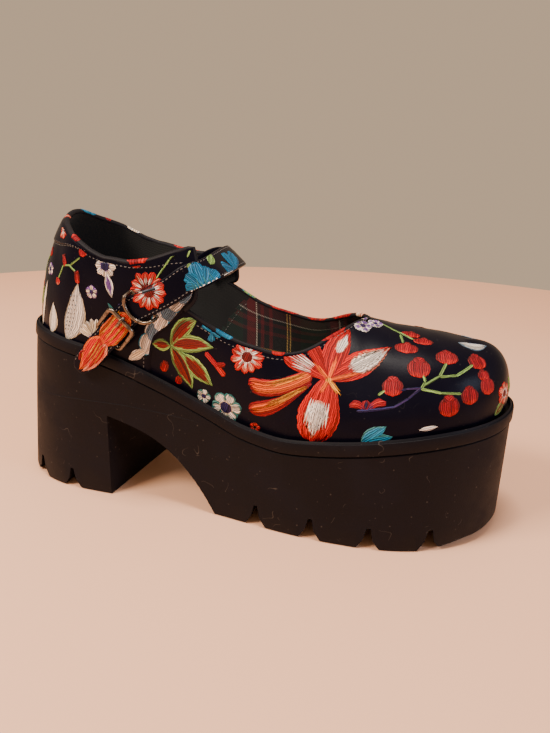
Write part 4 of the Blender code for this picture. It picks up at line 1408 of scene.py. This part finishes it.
def on_strap(spot, lift):
    """Point of the strap's face at (share of its length, share of its half width)."""
    across = np.clip(spot[:, 1], -0.93, 0.93)
    along = np.clip(spot[:, 0], 0.02, 0.992)
    padded = STRAP_THICKNESS / 2 * (1 + 0.10 * (1 - across ** 2))
    edge = 0.00022 * smooth(0.72, 0.95, np.abs(across))
    return strap_at(along, across, lift + padded - edge)


BARE = {on_quarter: (bare_skin, 0.5, 0.01), on_vamp: (bare_skin, 0.5, 0.01),
        on_strap: (bare_strap, 0.004, 0.05)}


def local_axes(ground, spot):
    """Change of the spot for one metre forward and one metre up over the surface there."""
    bare, a, b = BARE[ground]
    probes = np.array([spot, (spot[0] + a, spot[1]), (spot[0], spot[1] + b)], dtype=float)
    here, there, above = bare(probes)
    jacobian = np.stack([(there - here) / a, (above - here) / b], axis=1)
    forward = unit(jacobian[:, 0])
    upward = unit(jacobian[:, 1] - forward * np.dot(forward, jacobian[:, 1]))
    solve = np.linalg.pinv(jacobian)
    return solve @ forward, solve @ upward


def sideways(ground, base, way):
    """Change of the spot for one metre across a way, halfway along it."""
    middle = np.array(local_axes(ground, base + way * 0.5)).T
    step = np.linalg.solve(middle, way)
    step /= max(np.linalg.norm(step), 1e-9)
    return middle @ np.array([-step[1], step[0]])


def dyes(names):
    """Thread colours of a motif; one name alone stands for all three."""
    names = names.split()
    return [PALETTE[name] for name in (names * 3 if len(names) == 1 else names)]


SHAPES = {
    "petal": lambda v: np.minimum(1.0, 0.30 + 1.15 * v ** 0.8) * np.clip(1 - v ** 5, 0, 1) ** 0.5,
    "leaf": lambda v: np.sin(math.pi * np.clip(v, 0, 1) ** 0.9) ** 0.85,
    "drop": lambda v: 0.10 + 0.90 * np.clip(v, 0, 1) ** 0.9 * np.clip(1 - v ** 6, 0, 1) ** 0.5,
    "round": lambda v: np.sqrt(np.clip(1 - (2 * v - 1) ** 2, 0, 1)),
    "spike": lambda v: np.clip(1 - v, 0, 1) ** 0.7 * np.minimum(1.0, 0.4 + 4 * v),
    "stem": lambda v: np.clip(1 - np.abs(2 * v - 1) ** 12, 0, 1) ** 0.5,
    "block": lambda v: np.ones_like(v),
}


class Patch:
    """One satin-stitched shape from a base to a tip, with a rim, a fill and a heart colour."""

    def __init__(self, ground, base, tip, width, colors, shape="petal", bend=0.0, rim=0.0009,
                 heart=0.0, rise=0.0, ragged=0.06, fine=1.0):
        self.ground = ground
        self.base = np.array(base, dtype=float)
        self.way = np.array(tip, dtype=float) - self.base
        self.colors = dyes(colors)
        self.half = width / 2
        self.bend = bend
        self.rim = rim
        self.heart = heart
        self.rise = rise
        self.ragged = ragged
        self.outline = SHAPES[shape]
        path = BARE[ground][0](np.array([self.base + self.way * s for s in (0.0, 0.25, 0.5, 0.75, 1.0)]))
        self.length = float(np.linalg.norm(np.diff(path, axis=0), axis=1).sum()) + 1e-6
        self.across = sideways(ground, self.base, self.way)
        self.columns = int(np.clip(round(width / 0.00055 * fine), 4, 26))
        self.rows = int(np.clip(round(self.length / 0.0008 * fine), 4, 30))
        self.seed = rng.random(64)
        self.shift = rng.random(2)

    def strand(self, u, salt=0.0):
        return self.seed[(np.floor(u * self.columns * 2 + salt * 17).astype(int)) % 64]

    def rule(self, u, v):
        side = 2 * u - 1
        stretch = 1 - self.ragged * self.strand(u)
        along = v * stretch
        ripple = 1 + self.ragged * (self.strand(v * 0.9, 1.0) - 0.5)
        offset = self.half * self.outline(v) * side * ripple + self.bend * 4 * v * (1 - v)
        spot = self.base + self.way * along[:, None] + self.across * offset[:, None]
        over = np.clip(1 - np.abs(side) ** 3, 0, 1) ** 0.5 * np.clip(6 * v * (1 - v) + 0.25, 0, 1)
        return self.ground(spot, 0.00002 + self.rise + 0.00020 * over)

    def spread(self, u, v):
        wide = (2 * u - 1) * self.half * (0.35 + 0.65 * self.outline(v))
        return np.stack([wide + self.shift[0], v * self.length + self.shift[1]], axis=1)

    def tint(self, u, v):
        """Colour of a thread at u and v, with painted highlights and painted shade on random strands."""
        rim, fill, heart = self.colors
        reach = self.half * self.outline(v) * (1 - np.abs(2 * u - 1))
        end = self.length * (1 - v)
        ragged = 0.55 + 0.9 * self.strand(u)
        edge = (np.minimum(reach, end) < self.rim * ragged)[:, None]
        core = (v < self.heart * ragged)[:, None]
        color = np.where(edge, rim, fill)
        color = np.where(core, heart, color)
        # Painted highlight and shade: about one strand in six is painted lighter, as if catching the light,
        # and about one in five darker, as if in shade.
        pick = self.strand(u, 2.0)
        pale = (pick > 0.84)[:, None]
        painted_shade_strands = (pick < 0.22)[:, None]
        color = np.where(pale, color * 1.25 + np.array([0.040, 0.008, 0.005]), color)
        color = np.where(painted_shade_strands, color * 0.48, color)
        return color * (0.84 + 0.32 * self.strand(u, 3.0))[:, None]


def sew(name, patches, replaced):
    """One piece from all the patches of a part of the shoe, with their colours on its vertices."""
    grids = [(patch.columns, patch.rows, patch.rule, None, patch.spread) for patch in patches]
    piece = patchwork(name, grids, [EMBROIDERY], at_angle=180)
    mesh = piece.data
    colors = np.ones((len(mesh.vertices), 4))
    start = 0
    for patch in patches:
        rows, columns = patch.rows + 1, patch.columns + 1
        u, v = np.meshgrid(np.linspace(0, 1, columns), np.linspace(0, 1, rows))
        end = start + rows * columns
        colors[start:end, :3] = patch.tint(u.ravel(), v.ravel())
        start = end
    layer = mesh.color_attributes.new("thread", "FLOAT_COLOR", "POINT")
    layer.data.foreach_set("color", colors.ravel())
    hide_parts(replaced)


LAYER_STEP = 0.000015
LAYER_TOP = 0.00012
LAYER_FREE = 0.0005


class Needle:
    """Sews common folk-flower shapes on one part of the shoe; sizes in metres.

    Each patch lies a step above the last, so that neighbouring threads don't share a surface. Above
    LAYER_TOP the steps start again, unless a motif was set above LAYER_FREE to lie over the rest.
    """

    def __init__(self, ground):
        self.ground = ground
        self.patches = []
        self.layer = 0.0

    def patch(self, base, tip, width, colors, **more):
        self.layer += LAYER_STEP
        if LAYER_TOP < self.layer < LAYER_FREE:
            self.layer = 0.0
        more.setdefault("rise", self.layer)
        self.patches.append(Patch(self.ground, base, tip, width, colors, **more))

    def around(self, centre, angle, distance):
        forward, upward = local_axes(self.ground, centre)
        turn = math.radians(angle)
        return np.array(centre) + (forward * math.cos(turn) + upward * math.sin(turn)) * distance

    def flower(self, centre, radius, petals, colors, width=None, core=None, hollow=0.22):
        """Open flower of petals round a small heart."""
        width = width or 2 * math.pi * radius * 0.78 / petals
        for k in range(petals):
            angle = 90 + 360 * k / petals
            length = radius * (1 + 0.10 * (rng.random() - 0.5))
            self.patch(self.around(centre, angle, radius * hollow), self.around(centre, angle, length),
                       width, colors, heart=0.20, rim=radius * 0.16)
        if core:
            self.dot(centre, radius * hollow * 1.5, core)

    def dot(self, centre, radius, color, tall=1.0):
        self.patch(self.around(centre, 270, radius * tall), self.around(centre, 90, radius * tall),
                   radius * 2, color, shape="round", rise=0.00016)

    def berry(self, centre, radius, tall=1.0, colors="maroon red coral", turned=90.0):
        self.patch(self.around(centre, turned + 180, radius * tall),
                   self.around(centre, turned, radius * tall), radius * 2, colors, shape="round",
                   rim=0.0008, heart=0.25)
        tip = self.around(centre, turned, radius * tall * 0.50)
        for side in (-1, 1):
            self.patch(tip, self.around(tip, turned + 42 * side, radius * tall * 0.68), radius * 0.85, colors,
                       shape="round", rim=0.0006, rise=0.00012)

    def stem(self, *spots, width=0.0012, color="green", bend=0.0):
        for a, b in zip(spots, spots[1:]):
            way = np.array(b, dtype=float) - np.array(a, dtype=float)
            self.patch(np.array(a) - way * 0.05, np.array(b) + way * 0.05, width, color,
                       shape="stem", bend=bend, ragged=0.0)

    def leaf(self, base, tip, width, colors="green brick red", bend=0.0, vein=None, rim=0.0014):
        self.patch(base, tip, width, colors, shape="leaf", bend=bend, rim=rim)
        if vein:
            base = np.array(base)
            way = np.array(tip) - base
            self.patch(base + way * 0.08, base + way * 0.86, width * 0.09, vein,
                       shape="leaf", bend=bend, rise=0.00016)

    def streaks(self, base, tip, width, color, count=4, fan=0.5, thin=0.0007):
        """Loose single threads laid over a petal from its base."""
        base = np.array(base, dtype=float)
        way = np.array(tip, dtype=float) - base
        across = sideways(self.ground, base, way)
        for k in range(count):
            side = (2 * (k + 0.5) / count - 1) * width / 2
            reach = 1 - 0.25 * abs(2 * (k + 0.5) / count - 1) - 0.12 * rng.random()
            self.patch(base + across * side * fan, base + way * reach + across * side, thin, color,
                       shape="leaf", rise=0.00018)

    def lit_petals(self, centre, petals, near, far, width):
        """Two pale threads over each petal of a flower."""
        for k in range(petals):
            angle = 90 + 360 / petals * k
            self.streaks(self.around(centre, angle, near), self.around(centre, angle, far), width,
                         "white", count=2)

    def fan(self, root, tips, color, **more):
        """Petals or leaves from one root to several tips, each with its width."""
        for tip, width in tips:
            self.patch(root, tip, width, color, **more)


def sew_outer_quarter(needle):
    """Outer half of the quarter, from the back tab to the front edge."""
    needle.layer = 0.0006
    needle.flower((33.8, 0.515), 0.0046, 6, "coral peach white", core="cream")
    needle.layer = 0.0
    needle.stem((36.8, 0.300), (39.5, 0.350), (44.0, 0.345), (48.0, 0.372), width=0.0009)
    needle.stem((43.5, 0.345), (46.5, 0.318), width=0.0009)
    needle.berry((49.2, 0.395), 0.0026)
    needle.berry((39.8, 0.372), 0.0016, tall=1.9)
    needle.berry((47.2, 0.296), 0.0017, tall=1.9)
    needle.berry((36.3, 0.284), 0.0019, colors="red coral peach")
    needle.flower((57.2, 0.345), 0.0056, 8, "white cream violet", core="navy", hollow=0.30)
    needle.leaf((57.6, 0.318), (58.9, 0.235), 0.0042, "white violet cream", rim=0.0008)
    needle.flower((52.6, 0.243), 0.0036, 5, "violet cream slate", core="navy")
    needle.leaf((41.2, 0.012), (47.6, 0.275), 0.0112, "cream white cream", bend=-0.0022, rim=0.0006)
    for k in range(9):
        share = 0.065 + 0.019 * k
        for side in (-1, 0, 1):
            spot = (42.6 + k * 0.42 + side * 1.25, share)
            needle.patch(spot, (spot[0] + 0.25, spot[1] + 0.009), 0.0005, "slate",
                         shape="round", rise=0.00034)
    needle.leaf((32.0, 0.010), (33.8, 0.185), 0.0076, "cream white cream", bend=-0.0012, rim=0.0006)
    needle.leaf((22.0, 0.020), (26.5, 0.300), 0.0036, "white cream white", rim=0.0006)
    for k in range(9):
        angle = 20 + 17.5 * k
        centre = (52.4, 0.056)
        needle.patch(needle.around(centre, angle, 0.0016), needle.around(centre, angle, 0.0112), 0.0032,
                     "white cream violet", heart=0.18, rim=0.0006)
    needle.flower((68.2, 0.312), 0.0100, 13, "coral peach maroon", core="maroon", width=0.0044)
    needle.lit_petals((68.2, 0.312), 13, 0.0030, 0.0078, 0.0022)
    needle.leaf((64.0, 0.382), (66.8, 0.388), 0.0034, "red coral red")
    needle.stem((70.4, 0.372), (72.0, 0.425), (73.2, 0.470), (74.6, 0.520), width=0.0009)
    needle.stem((76.8, 0.545), (77.2, 0.600), width=0.0009)
    for k in range(6):
        share = 0.125 + 0.052 * k
        base = (66.4 + 1.75 * k, share - 0.05)
        tip = (69.2 + 1.9 * k, share + 0.060)
        colors = "white slate teal" if k % 2 else "sky white slate"
        needle.leaf(base, tip, 0.0104, colors, rim=0.0010)
    needle.leaf((62.0, 0.030), (67.5, 0.105), 0.0050, "white cream slate", rim=0.0007)
    needle.leaf((57.5, 0.215), (61.5, 0.150), 0.0022, "teal green teal")
    needle.flower((61.5, 0.215), 0.0026, 5, "navy violet cream")


def sew_back(needle):
    """Back of the heel, where the two sides of the quarter meet."""
    needle.flower((10.0, 0.230), 0.0068, 7, "coral peach white", core="maroon")
    needle.stem((12.0, 0.300), (16.0, 0.370), (22.0, 0.420))
    needle.berry((23.0, 0.430), 0.0024)
    needle.berry((8.0, 0.420), 0.0022, tall=1.5)
    needle.leaf((6.0, 0.020), (14.0, 0.120), 0.0056, vein="green")
    needle.leaf((16.0, 0.140), (22.0, 0.260), 0.0050, vein="green")
    needle.flower((27.5, 0.345), 0.0034, 5, "violet cream slate", core="navy")


def sew_outer_vamp(needle):
    """Outer half of the vamp: leaf cluster, lily, sprigs of berries."""
    root = (73.2, 0.156)
    for tip, width, bend in (((80.0, 0.350), 0.0086, 0.001), ((83.6, 0.292), 0.0092, 0.0),
                             ((78.0, 0.040), 0.0092, 0.001), ((68.4, 0.128), 0.0064, 0.0)):
        needle.leaf(root, tip, width, bend=bend, rim=0.0016)
    needle.leaf((76.4, 0.160), (83.2, 0.112), 0.0092, rim=0.0016)
    needle.stem(root, (77.2, 0.160), width=0.0014)
    needle.berry((71.2, 0.066), 0.0024, tall=1.3)
    needle.berry((74.6, 0.042), 0.0020, tall=1.2)
    needle.fan((83.0, 0.350), [(tip, 0.0052) for tip in ((81.0, 0.352), (83.0, 0.306), (85.2, 0.386))],
               "blue sky blue", shape="drop", rim=0.0008)
    needle.stem((84.3, 0.225), (86.2, 0.262), width=0.0026, color="red")
    needle.stem((81.8, 0.238), (84.4, 0.222), width=0.0024, color="red")
    needle.stem((84.2, 0.225), (86.0, 0.205), width=0.0030, color="coral")
    needle.flower((91.0, 0.375), 0.0084, 11, "coral peach white", core="maroon", width=0.0042)
    needle.lit_petals((91.0, 0.375), 11, 0.0026, 0.0066, 0.0018)
    needle.flower((86.2, 0.055), 0.0086, 6, "teal white cream", core="navy", width=0.0072,
                  hollow=0.26)
    needle.flower((80.8, 0.040), 0.0042, 5, "teal white cream", core="navy")
    needle.flower((93.0, 0.028), 0.0030, 5, "maroon coral brown")
    # Lily with its stamens
    heart = (108.6, 0.380)
    needle.patch((105.0, 0.400), (91.4, 0.236), 0.0078, "red orange gold", shape="stem",
                 bend=0.0022, rim=0.0016)
    needle.patch((105.0, 0.345), (91.6, 0.106), 0.0100, "red orange gold", shape="drop",
                 bend=0.0018, rim=0.0017)
    for base, tip in (((104.0, 0.395), (92.6, 0.242)), ((104.2, 0.325), (93.2, 0.125))):
        needle.streaks(base, tip, 0.0034, "gold", count=4)
    needle.leaf((103.6, 0.385), (99.4, 0.300), 0.0020, "red orange gold")
    needle.patch(heart, (106.0, 0.010), 0.0205, "coral coral red", rim=0.0016,
                 bend=0.0006)
    needle.patch((107.4, 0.265), (106.2, 0.030), 0.0112, "peach white peach", shape="leaf",
                 heart=0.12, ragged=0.35, rise=0.00014)
    needle.streaks((107.4, 0.260), (106.2, 0.040), 0.0120, "white", count=9, fan=0.8, thin=0.0009)
    needle.patch(heart, (121.8, 0.705), 0.0128, "coral coral red", shape="leaf", rim=0.0015,
                 bend=-0.0010)
    needle.patch((112.0, 0.450), (121.3, 0.694), 0.0102, "peach white coral", shape="leaf",
                 heart=0.16, ragged=0.25, rise=0.00014, bend=-0.0008)
    needle.patch(heart, (111.0, 0.760), 0.0120, "coral coral red", shape="leaf", rim=0.0015,
                 bend=0.0014)
    needle.patch((109.4, 0.540), (110.9, 0.725), 0.0064, "peach white coral", shape="leaf",
                 heart=0.15, ragged=0.35, rise=0.00014)
    needle.patch(heart, (98.4, 0.490), 0.0125, "coral coral red", shape="drop", rim=0.0015)
    needle.streaks((105.0, 0.425), (98.8, 0.485), 0.0085, "white", count=7, thin=0.0009)
    needle.patch(heart, (103.0, 0.590), 0.0090, "coral coral red", shape="drop", rim=0.0015)
    for tip in ((109.6, 0.550), (104.6, 0.470), (117.0, 0.480), (106.8, 0.285)):
        needle.streaks(heart, tip, 0.0022, "orange", count=3, thin=0.0011)
    needle.streaks(heart, (112.0, 0.300), 0.0030, "gold", count=3, thin=0.0009)
    needle.dot(heart, 0.0017, "gold")
    # Branch with berries over the toe
    for centre, radius, tall in (((129.8, 0.545), 0.0052, 1.0), ((139.0, 0.655), 0.0052, 0.8),
                                 ((153.0, 0.612), 0.0048, 0.85), ((123.5, 0.397), 0.0048, 0.95),
                                 ((125.5, 0.712), 0.0056, 0.6), ((130.3, 0.812), 0.0046, 0.6),
                                 ((126.0, 0.880), 0.0046, 0.6), ((146.8, 0.290), 0.0046, 0.9),
                                 ((139.8, 0.225), 0.0050, 0.95), ((155.0, 0.345), 0.0045, 0.9),
                                 ((153.8, 0.456), 0.0034, 0.8)):
        needle.berry(centre, radius, tall=tall)
    needle.stem((131.0, 0.496), (132.0, 0.430), (131.0, 0.376))
    needle.stem((138.5, 0.600), (136.2, 0.476), (131.5, 0.400))
    needle.stem((149.6, 0.578), (142.0, 0.476), (136.4, 0.470))
    needle.stem((131.0, 0.378), (137.0, 0.335), (143.4, 0.316))
    needle.stem((120.2, 0.336), (121.8, 0.372))
    needle.stem((117.8, 0.950), (122.4, 0.880), (126.8, 0.820))
    needle.stem((123.0, 0.850), (124.2, 0.764))
    needle.stem((131.0, 0.384), (127.8, 0.310), (124.5, 0.256), (116.0, 0.225), width=0.0012, color="navy")
    needle.stem((131.0, 0.384), (127.0, 0.380), (122.0, 0.345), width=0.0010, color="navy")
    for side, tip in ((-1, (113.8, 0.262)), (1, (122.4, 0.292))):
        needle.patch((118.0, 0.225), tip, 0.0056, "red coral navy", shape="drop", bend=0.0014 * side,
                     rim=0.0014, heart=0.3)
    needle.patch((117.6, 0.230), (117.8, 0.300), 0.0044, "red navy navy", rim=0.0010)
    needle.patch((117.4, 0.020), (123.2, 0.128), 0.0068, "teal sky teal", shape="leaf", rim=0.0008)
    needle.patch((118.8, 0.020), (125.0, 0.050), 0.0056, "teal sky slate", shape="leaf", rim=0.0008)
    for centre, radius in (((113.6, 0.840), 0.0048), ((116.2, 0.925), 0.0040)):
        needle.flower(centre, radius, 5, "white violet cream", core="navy")
    needle.leaf((146.5, 0.880), (172.0, 0.760), 0.0062, "slate white cream", rim=0.0008)
    needle.leaf((131.6, 0.075), (137.0, 0.085), 0.0022, "white cream slate")
    needle.flower((166.0, 0.200), 0.0060, 6, "coral peach white", core="maroon")
    needle.leaf((160.0, 0.050), (168.0, 0.150), 0.0060, vein="green")
    needle.leaf((173.0, 0.300), (178.0, 0.120), 0.0060, vein="green")


def sew_inner_quarter(needle):
    """Inner half of the quarter, which repeats the outer one's motifs in a freer order."""
    needle.flower((322.0, 0.500), 0.0066, 7, "teal white cream", core="navy")
    needle.stem((324.0, 0.440), (330.0, 0.330), (334.0, 0.200))
    needle.berry((331.0, 0.255), 0.0028)
    needle.berry((338.0, 0.330), 0.0026, tall=1.4)
    needle.leaf((338.0, 0.030), (343.0, 0.240), 0.0070, "cream white cream", bend=0.0018, rim=0.0006)
    needle.leaf((326.0, 0.020), (329.5, 0.160), 0.0054, "cream white cream", rim=0.0006)
    needle.flower((310.0, 0.245), 0.0096, 12, "coral peach white", core="maroon", width=0.0044)
    needle.stem((304.0, 0.330), (300.0, 0.400), width=0.0013)
    needle.leaf((300.0, 0.330), (295.5, 0.410), 0.0044, "green green teal")
    needle.flower((297.0, 0.290), 0.0056, 8, "white cream violet", core="navy", hollow=0.30)
    needle.fan((318.5, 0.030), [(tip, 0.0070) for tip in ((322.0, 0.110), (317.5, 0.165), (314.0, 0.090))],
               "red coral orange", shape="drop")
    needle.leaf((312.0, 0.020), (305.0, 0.110), 0.0068, vein="green")
    needle.leaf((300.0, 0.040), (294.0, 0.160), 0.0072, vein="green")
    needle.patch((289.0, 0.060), (293.0, 0.190), 0.0062, "blue sky blue", shape="drop")
    needle.flower((287.5, 0.270), 0.0044, 6, "teal white cream", core="navy")
    needle.berry((349.0, 0.420), 0.0026)
    needle.flower((350.0, 0.180), 0.0054, 6, "coral peach white", core="cream")


def sew_inner_vamp(needle):
    """Inner half of the vamp, down to the toe."""
    root = (283.0, 0.110)
    for tip, width in (((277.5, 0.300), 0.0072), ((272.0, 0.225), 0.0076), ((276.0, 0.035), 0.0072)):
        needle.leaf(root, tip, width, vein="green")
    needle.flower((263.0, 0.330), 0.0088, 11, "coral peach white", core="maroon", width=0.0044)
    for k in range(6):
        angle = 15 + 60 * k
        centre = (267.0, 0.085)
        needle.patch(needle.around(centre, angle, 0.0018), needle.around(centre, angle, 0.0088), 0.0064,
                     "teal white cream", heart=0.2, rim=0.0010)
    needle.dot((267.0, 0.085), 0.0022, "navy")
    needle.fan((257.5, 0.075), [(tip, 0.0078) for tip in ((254.0, 0.180), (249.0, 0.120), (252.0, 0.040))],
               "red coral orange", shape="drop")
    needle.stem((257.5, 0.075), (260.5, 0.180), (256.0, 0.300))
    heart = (243.0, 0.420)
    for tip, width in (((243.0, 0.160), 0.0150), ((252.5, 0.560), 0.0105), ((234.0, 0.620), 0.0115),
                       ((243.5, 0.720), 0.0105)):
        needle.patch(heart, tip, width, "coral coral red", rim=0.0015)
        needle.streaks(heart, tip, width * 0.6, "white", count=6, thin=0.0010)
    needle.dot(heart, 0.0017, "gold")
    for spot, radius in (((228.0, 0.400), 0.0048), ((222.0, 0.560), 0.0050), ((214.0, 0.420), 0.0048),
                         ((232.0, 0.760), 0.0044), ((207.0, 0.600), 0.0048), ((218.0, 0.270), 0.0046)):
        needle.berry(spot, radius)
    needle.stem((228.0, 0.450), (222.0, 0.500), (214.0, 0.460))
    needle.stem((222.0, 0.500), (216.0, 0.330))
    needle.stem((222.0, 0.500), (208.0, 0.560))
    needle.leaf((236.0, 0.030), (229.0, 0.170), 0.0068, "teal sky teal")
    needle.leaf((226.0, 0.030), (220.0, 0.130), 0.0060, vein="green")
    needle.flower((205.0, 0.190), 0.0070, 7, "white cream violet", core="navy", hollow=0.3)
    needle.leaf((196.0, 0.060), (190.0, 0.260), 0.0064, vein="green")
    needle.flower((193.0, 0.420), 0.0056, 6, "coral peach white", core="maroon")
    needle.leaf((212.0, 0.860), (196.0, 0.740), 0.0058, "slate white cream", rim=0.0008)


def sew_strap(needle):
    """Strap from the inner side over the instep to the tip."""
    needle.flower((0.140, 0.0), 0.0062, 6, "coral peach white", core="maroon")
    needle.leaf((0.200, 0.9), (0.255, -0.5), 0.0058)
    needle.fan((0.390, 0.98), [(tip, 0.0105) for tip in ((0.440, 0.30), (0.370, -0.55), (0.325, -0.20))],
               "blue blue sky", shape="drop", rim=0.0010)
    needle.patch((0.470, 0.98), (0.400, 0.96), 0.0016, "white", shape="stem")
    needle.fan((0.546, 0.99), (((0.478, 0.35), 0.0078), ((0.508, -0.35), 0.0088), ((0.545, -0.90), 0.0092),
                               ((0.584, -0.35), 0.0082), ((0.604, 0.35), 0.0066)),
               "blue blue sky", shape="drop", rim=0.0008)
    for k in range(7):
        along = 0.512 + 0.011 * k
        needle.patch((along, 0.95), (along + 0.002, 0.15 + 0.35 * (k % 2)), 0.0008, "teal sky teal",
                     shape="spike", rise=0.00018)
    for k in range(8):
        along = 0.498 + 0.013 * k
        needle.patch((along, 0.93), (along + 0.009, 0.93), 0.0010, "white", shape="stem",
                     rise=0.00018)
    needle.leaf((0.480, -0.25), (0.432, -0.95), 0.0046, "green green teal", rim=0.0008)
    needle.stem((0.560, -0.95), (0.572, -0.70), width=0.0013)
    centre = (0.697, -0.72)
    needle.flower(centre, 0.0094, 13, "coral peach maroon", core="maroon", width=0.0042)
    needle.lit_petals(centre, 13, 0.0030, 0.0074, 0.0022)
    # Painted shade: a black patch with a slate rim across the flower stands in for a slot through the strap,
    # which is not cut.
    needle.patch((0.716, -0.86), (0.674, -0.62), 0.0019, "slate black black", shape="block",
                 rim=0.0004, ragged=0.0, rise=0.00022)
    needle.patch((0.768, 0.10), (0.880, 0.05), 0.0124, "orange coral red", shape="round", rim=0.0016)
    for k in range(7):
        across = -0.62 + 0.21 * k
        needle.patch((0.775, across), (0.868, across + 0.08), 0.0008, "gold", shape="leaf",
                     bend=0.0006 * (-1) ** k, rise=0.00018)
    needle.patch((0.862, -0.30), (0.992, 0.20), 0.0118, "orange coral red", shape="leaf",
                 rim=0.0014)
    needle.patch((0.866, 0.35), (0.990, 0.55), 0.0078, "peach coral orange", shape="leaf", rim=0.0014)
    for k in range(4):
        across = -0.35 + 0.26 * k
        needle.patch((0.878, across), (0.960, across + 0.25), 0.0008, "gold", shape="leaf",
                     rise=0.00018)
    needle.stem((0.930, -0.80), (0.944, -0.55), (0.958, -0.78), (0.972, -0.45), width=0.0013, color="red")


# Rough sizes of a folded edge, for the UV map
COLLAR_LENGTH = 0.2
FOLD_WIDTH = 0.003


class EdgePatch:
    """Thread colour carried over a folded edge, where the cut pattern turns inwards."""

    def __init__(self, roll, start, end, colors):
        self.roll = roll[2]
        self.start = start
        self.end = end
        self.colors = dyes(colors)
        self.columns = max(6, int((end - start) * 160))
        self.rows = 8
        self.seed = rng.random(256)

    def rule(self, u, v):
        ends = np.clip(np.minimum(u, 1 - u) * 5, 0, 1) ** 0.5
        return self.roll(self.start + (self.end - self.start) * u, 0.36 + (v - 0.5) * 0.68 * ends)

    def spread(self, u, v):
        return np.stack([u * (self.end - self.start) * COLLAR_LENGTH, v * FOLD_WIDTH], axis=1)

    def tint(self, u, v):
        pick = self.seed[(u * self.columns * 1.7).astype(int) % 256]
        first = (pick < 0.62)[:, None]
        return np.where(first, self.colors[0], self.colors[1]) * (0.7 + 0.5 * pick)[:, None]


def edge_patches():
    """Motifs that run over the collar and over the vamp's inner and outer topline."""
    collar = roll_edge(*collar_line(), FOLD_MIDDLE, FOLD_RADIUS + 0.00012, 1)
    outer, inner = topline_rolls(0.00022)
    spans = (
        (collar, ((0.052, 0.085, "red coral"), (0.185, 0.215, "red coral"), (0.36, 0.385, "peach coral"),
                  (0.545, 0.665, "blue sky"), (0.705, 0.735, "red coral"), (0.790, 0.835, "cream white"),
                  (0.900, 0.950, "red coral"))),
        (inner, ((0.06, 0.14, "green teal"), (0.20, 0.38, "red coral"), (0.43, 0.58, "coral maroon"),
                 (0.62, 0.78, "red coral"), (0.82, 0.90, "peach cream"))),
        (outer, ((0.13, 0.21, "blue sky"), (0.40, 0.47, "coral red"), (0.655, 0.79, "coral red"),
                 (0.90, 0.95, "violet cream"))),
    )
    return [EdgePatch(roll, *span) for roll, group in spans for span in group]


def make_embroidery():
    quarter_sides = (sew_outer_quarter, sew_back, sew_inner_quarter)
    for name, ground, sides in (("quarter_embroidery", on_quarter, quarter_sides),
                                ("vamp_embroidery", on_vamp, (sew_outer_vamp, sew_inner_vamp))):
        needle = Needle(ground)
        for side in sides:
            side(needle)
        sew(name, needle.patches, "upper")
    sew("edge_embroidery", edge_patches(), "upper")
    needle = Needle(on_strap)
    sew_strap(needle)
    sew("strap_embroidery", needle.patches, "strap")


# Floor and light

TABLE_RADIUS = 0.75
TABLE_THICKNESS = 0.02
TABLE_MIDDLE = (0.10, -0.10)


def make_floor():
    """Round table top under the shoe."""
    shape = bmesh.new()
    bmesh.ops.create_cone(shape, segments=160, radius1=TABLE_RADIUS, radius2=TABLE_RADIUS,
                          depth=TABLE_THICKNESS, cap_ends=True)
    bmesh.ops.translate(shape, verts=shape.verts, vec=(*TABLE_MIDDLE, -TABLE_THICKNESS / 2))
    mesh = new_mesh("table_top", shape)
    mesh.materials.append(floor_material())
    floor = new_object("table_top", mesh)


def soft_light(name, place_at, target, size, power, color):
    lamp = bpy.data.lights.new(name, "AREA")
    lamp.shape = "RECTANGLE"
    lamp.size, lamp.size_y = size
    lamp.energy = power
    lamp.color = color
    thing = new_object(name, lamp)
    away = Vector(place_at) - Vector(target)
    thing.rotation_euler = away.to_track_quat("Z", "Y").to_euler()
    thing.location = place_at


# Name, place, target, width and height, power and colour of each soft light
LAMPS = (
    ("lamp", (-0.50, -0.55, 0.90), (0.08, 0, 0.05), (0.40, 0.30), 15.5, (1.0, 0.86, 0.72)),
    ("window", (0.95, -0.25, 0.45), (0.18, 0, 0.06), (0.30, 0.35), 3.2, (0.62, 0.76, 1.0)),
    ("ceiling", (0.10, -0.10, 1.20), (0.1, 0, 0.05), (0.28, 0.20), 10.5, (1.0, 0.90, 0.80)),
)
ROOM_COLOR = (0.67, 0.48, 0.320, 1.0)
ROOM_STRENGTH = 0.86


def make_light():
    """Warm lamp from the upper left, cool window light over the toe, beige room around."""
    world = bpy.data.worlds.new("room")
    bpy.context.scene.world = world
    world.use_nodes = True
    background = world.node_tree.nodes["Background"]
    background.inputs["Color"].default_value = ROOM_COLOR
    background.inputs["Strength"].default_value = ROOM_STRENGTH
    for lamp in LAMPS:
        soft_light(*lamp)


aim_camera()
make_sole()
make_mould_line()
make_upper()
make_back_tab()
make_footbed()
make_strap()
make_buckle()
make_stitches()
make_embroidery()
make_floor()
make_light()
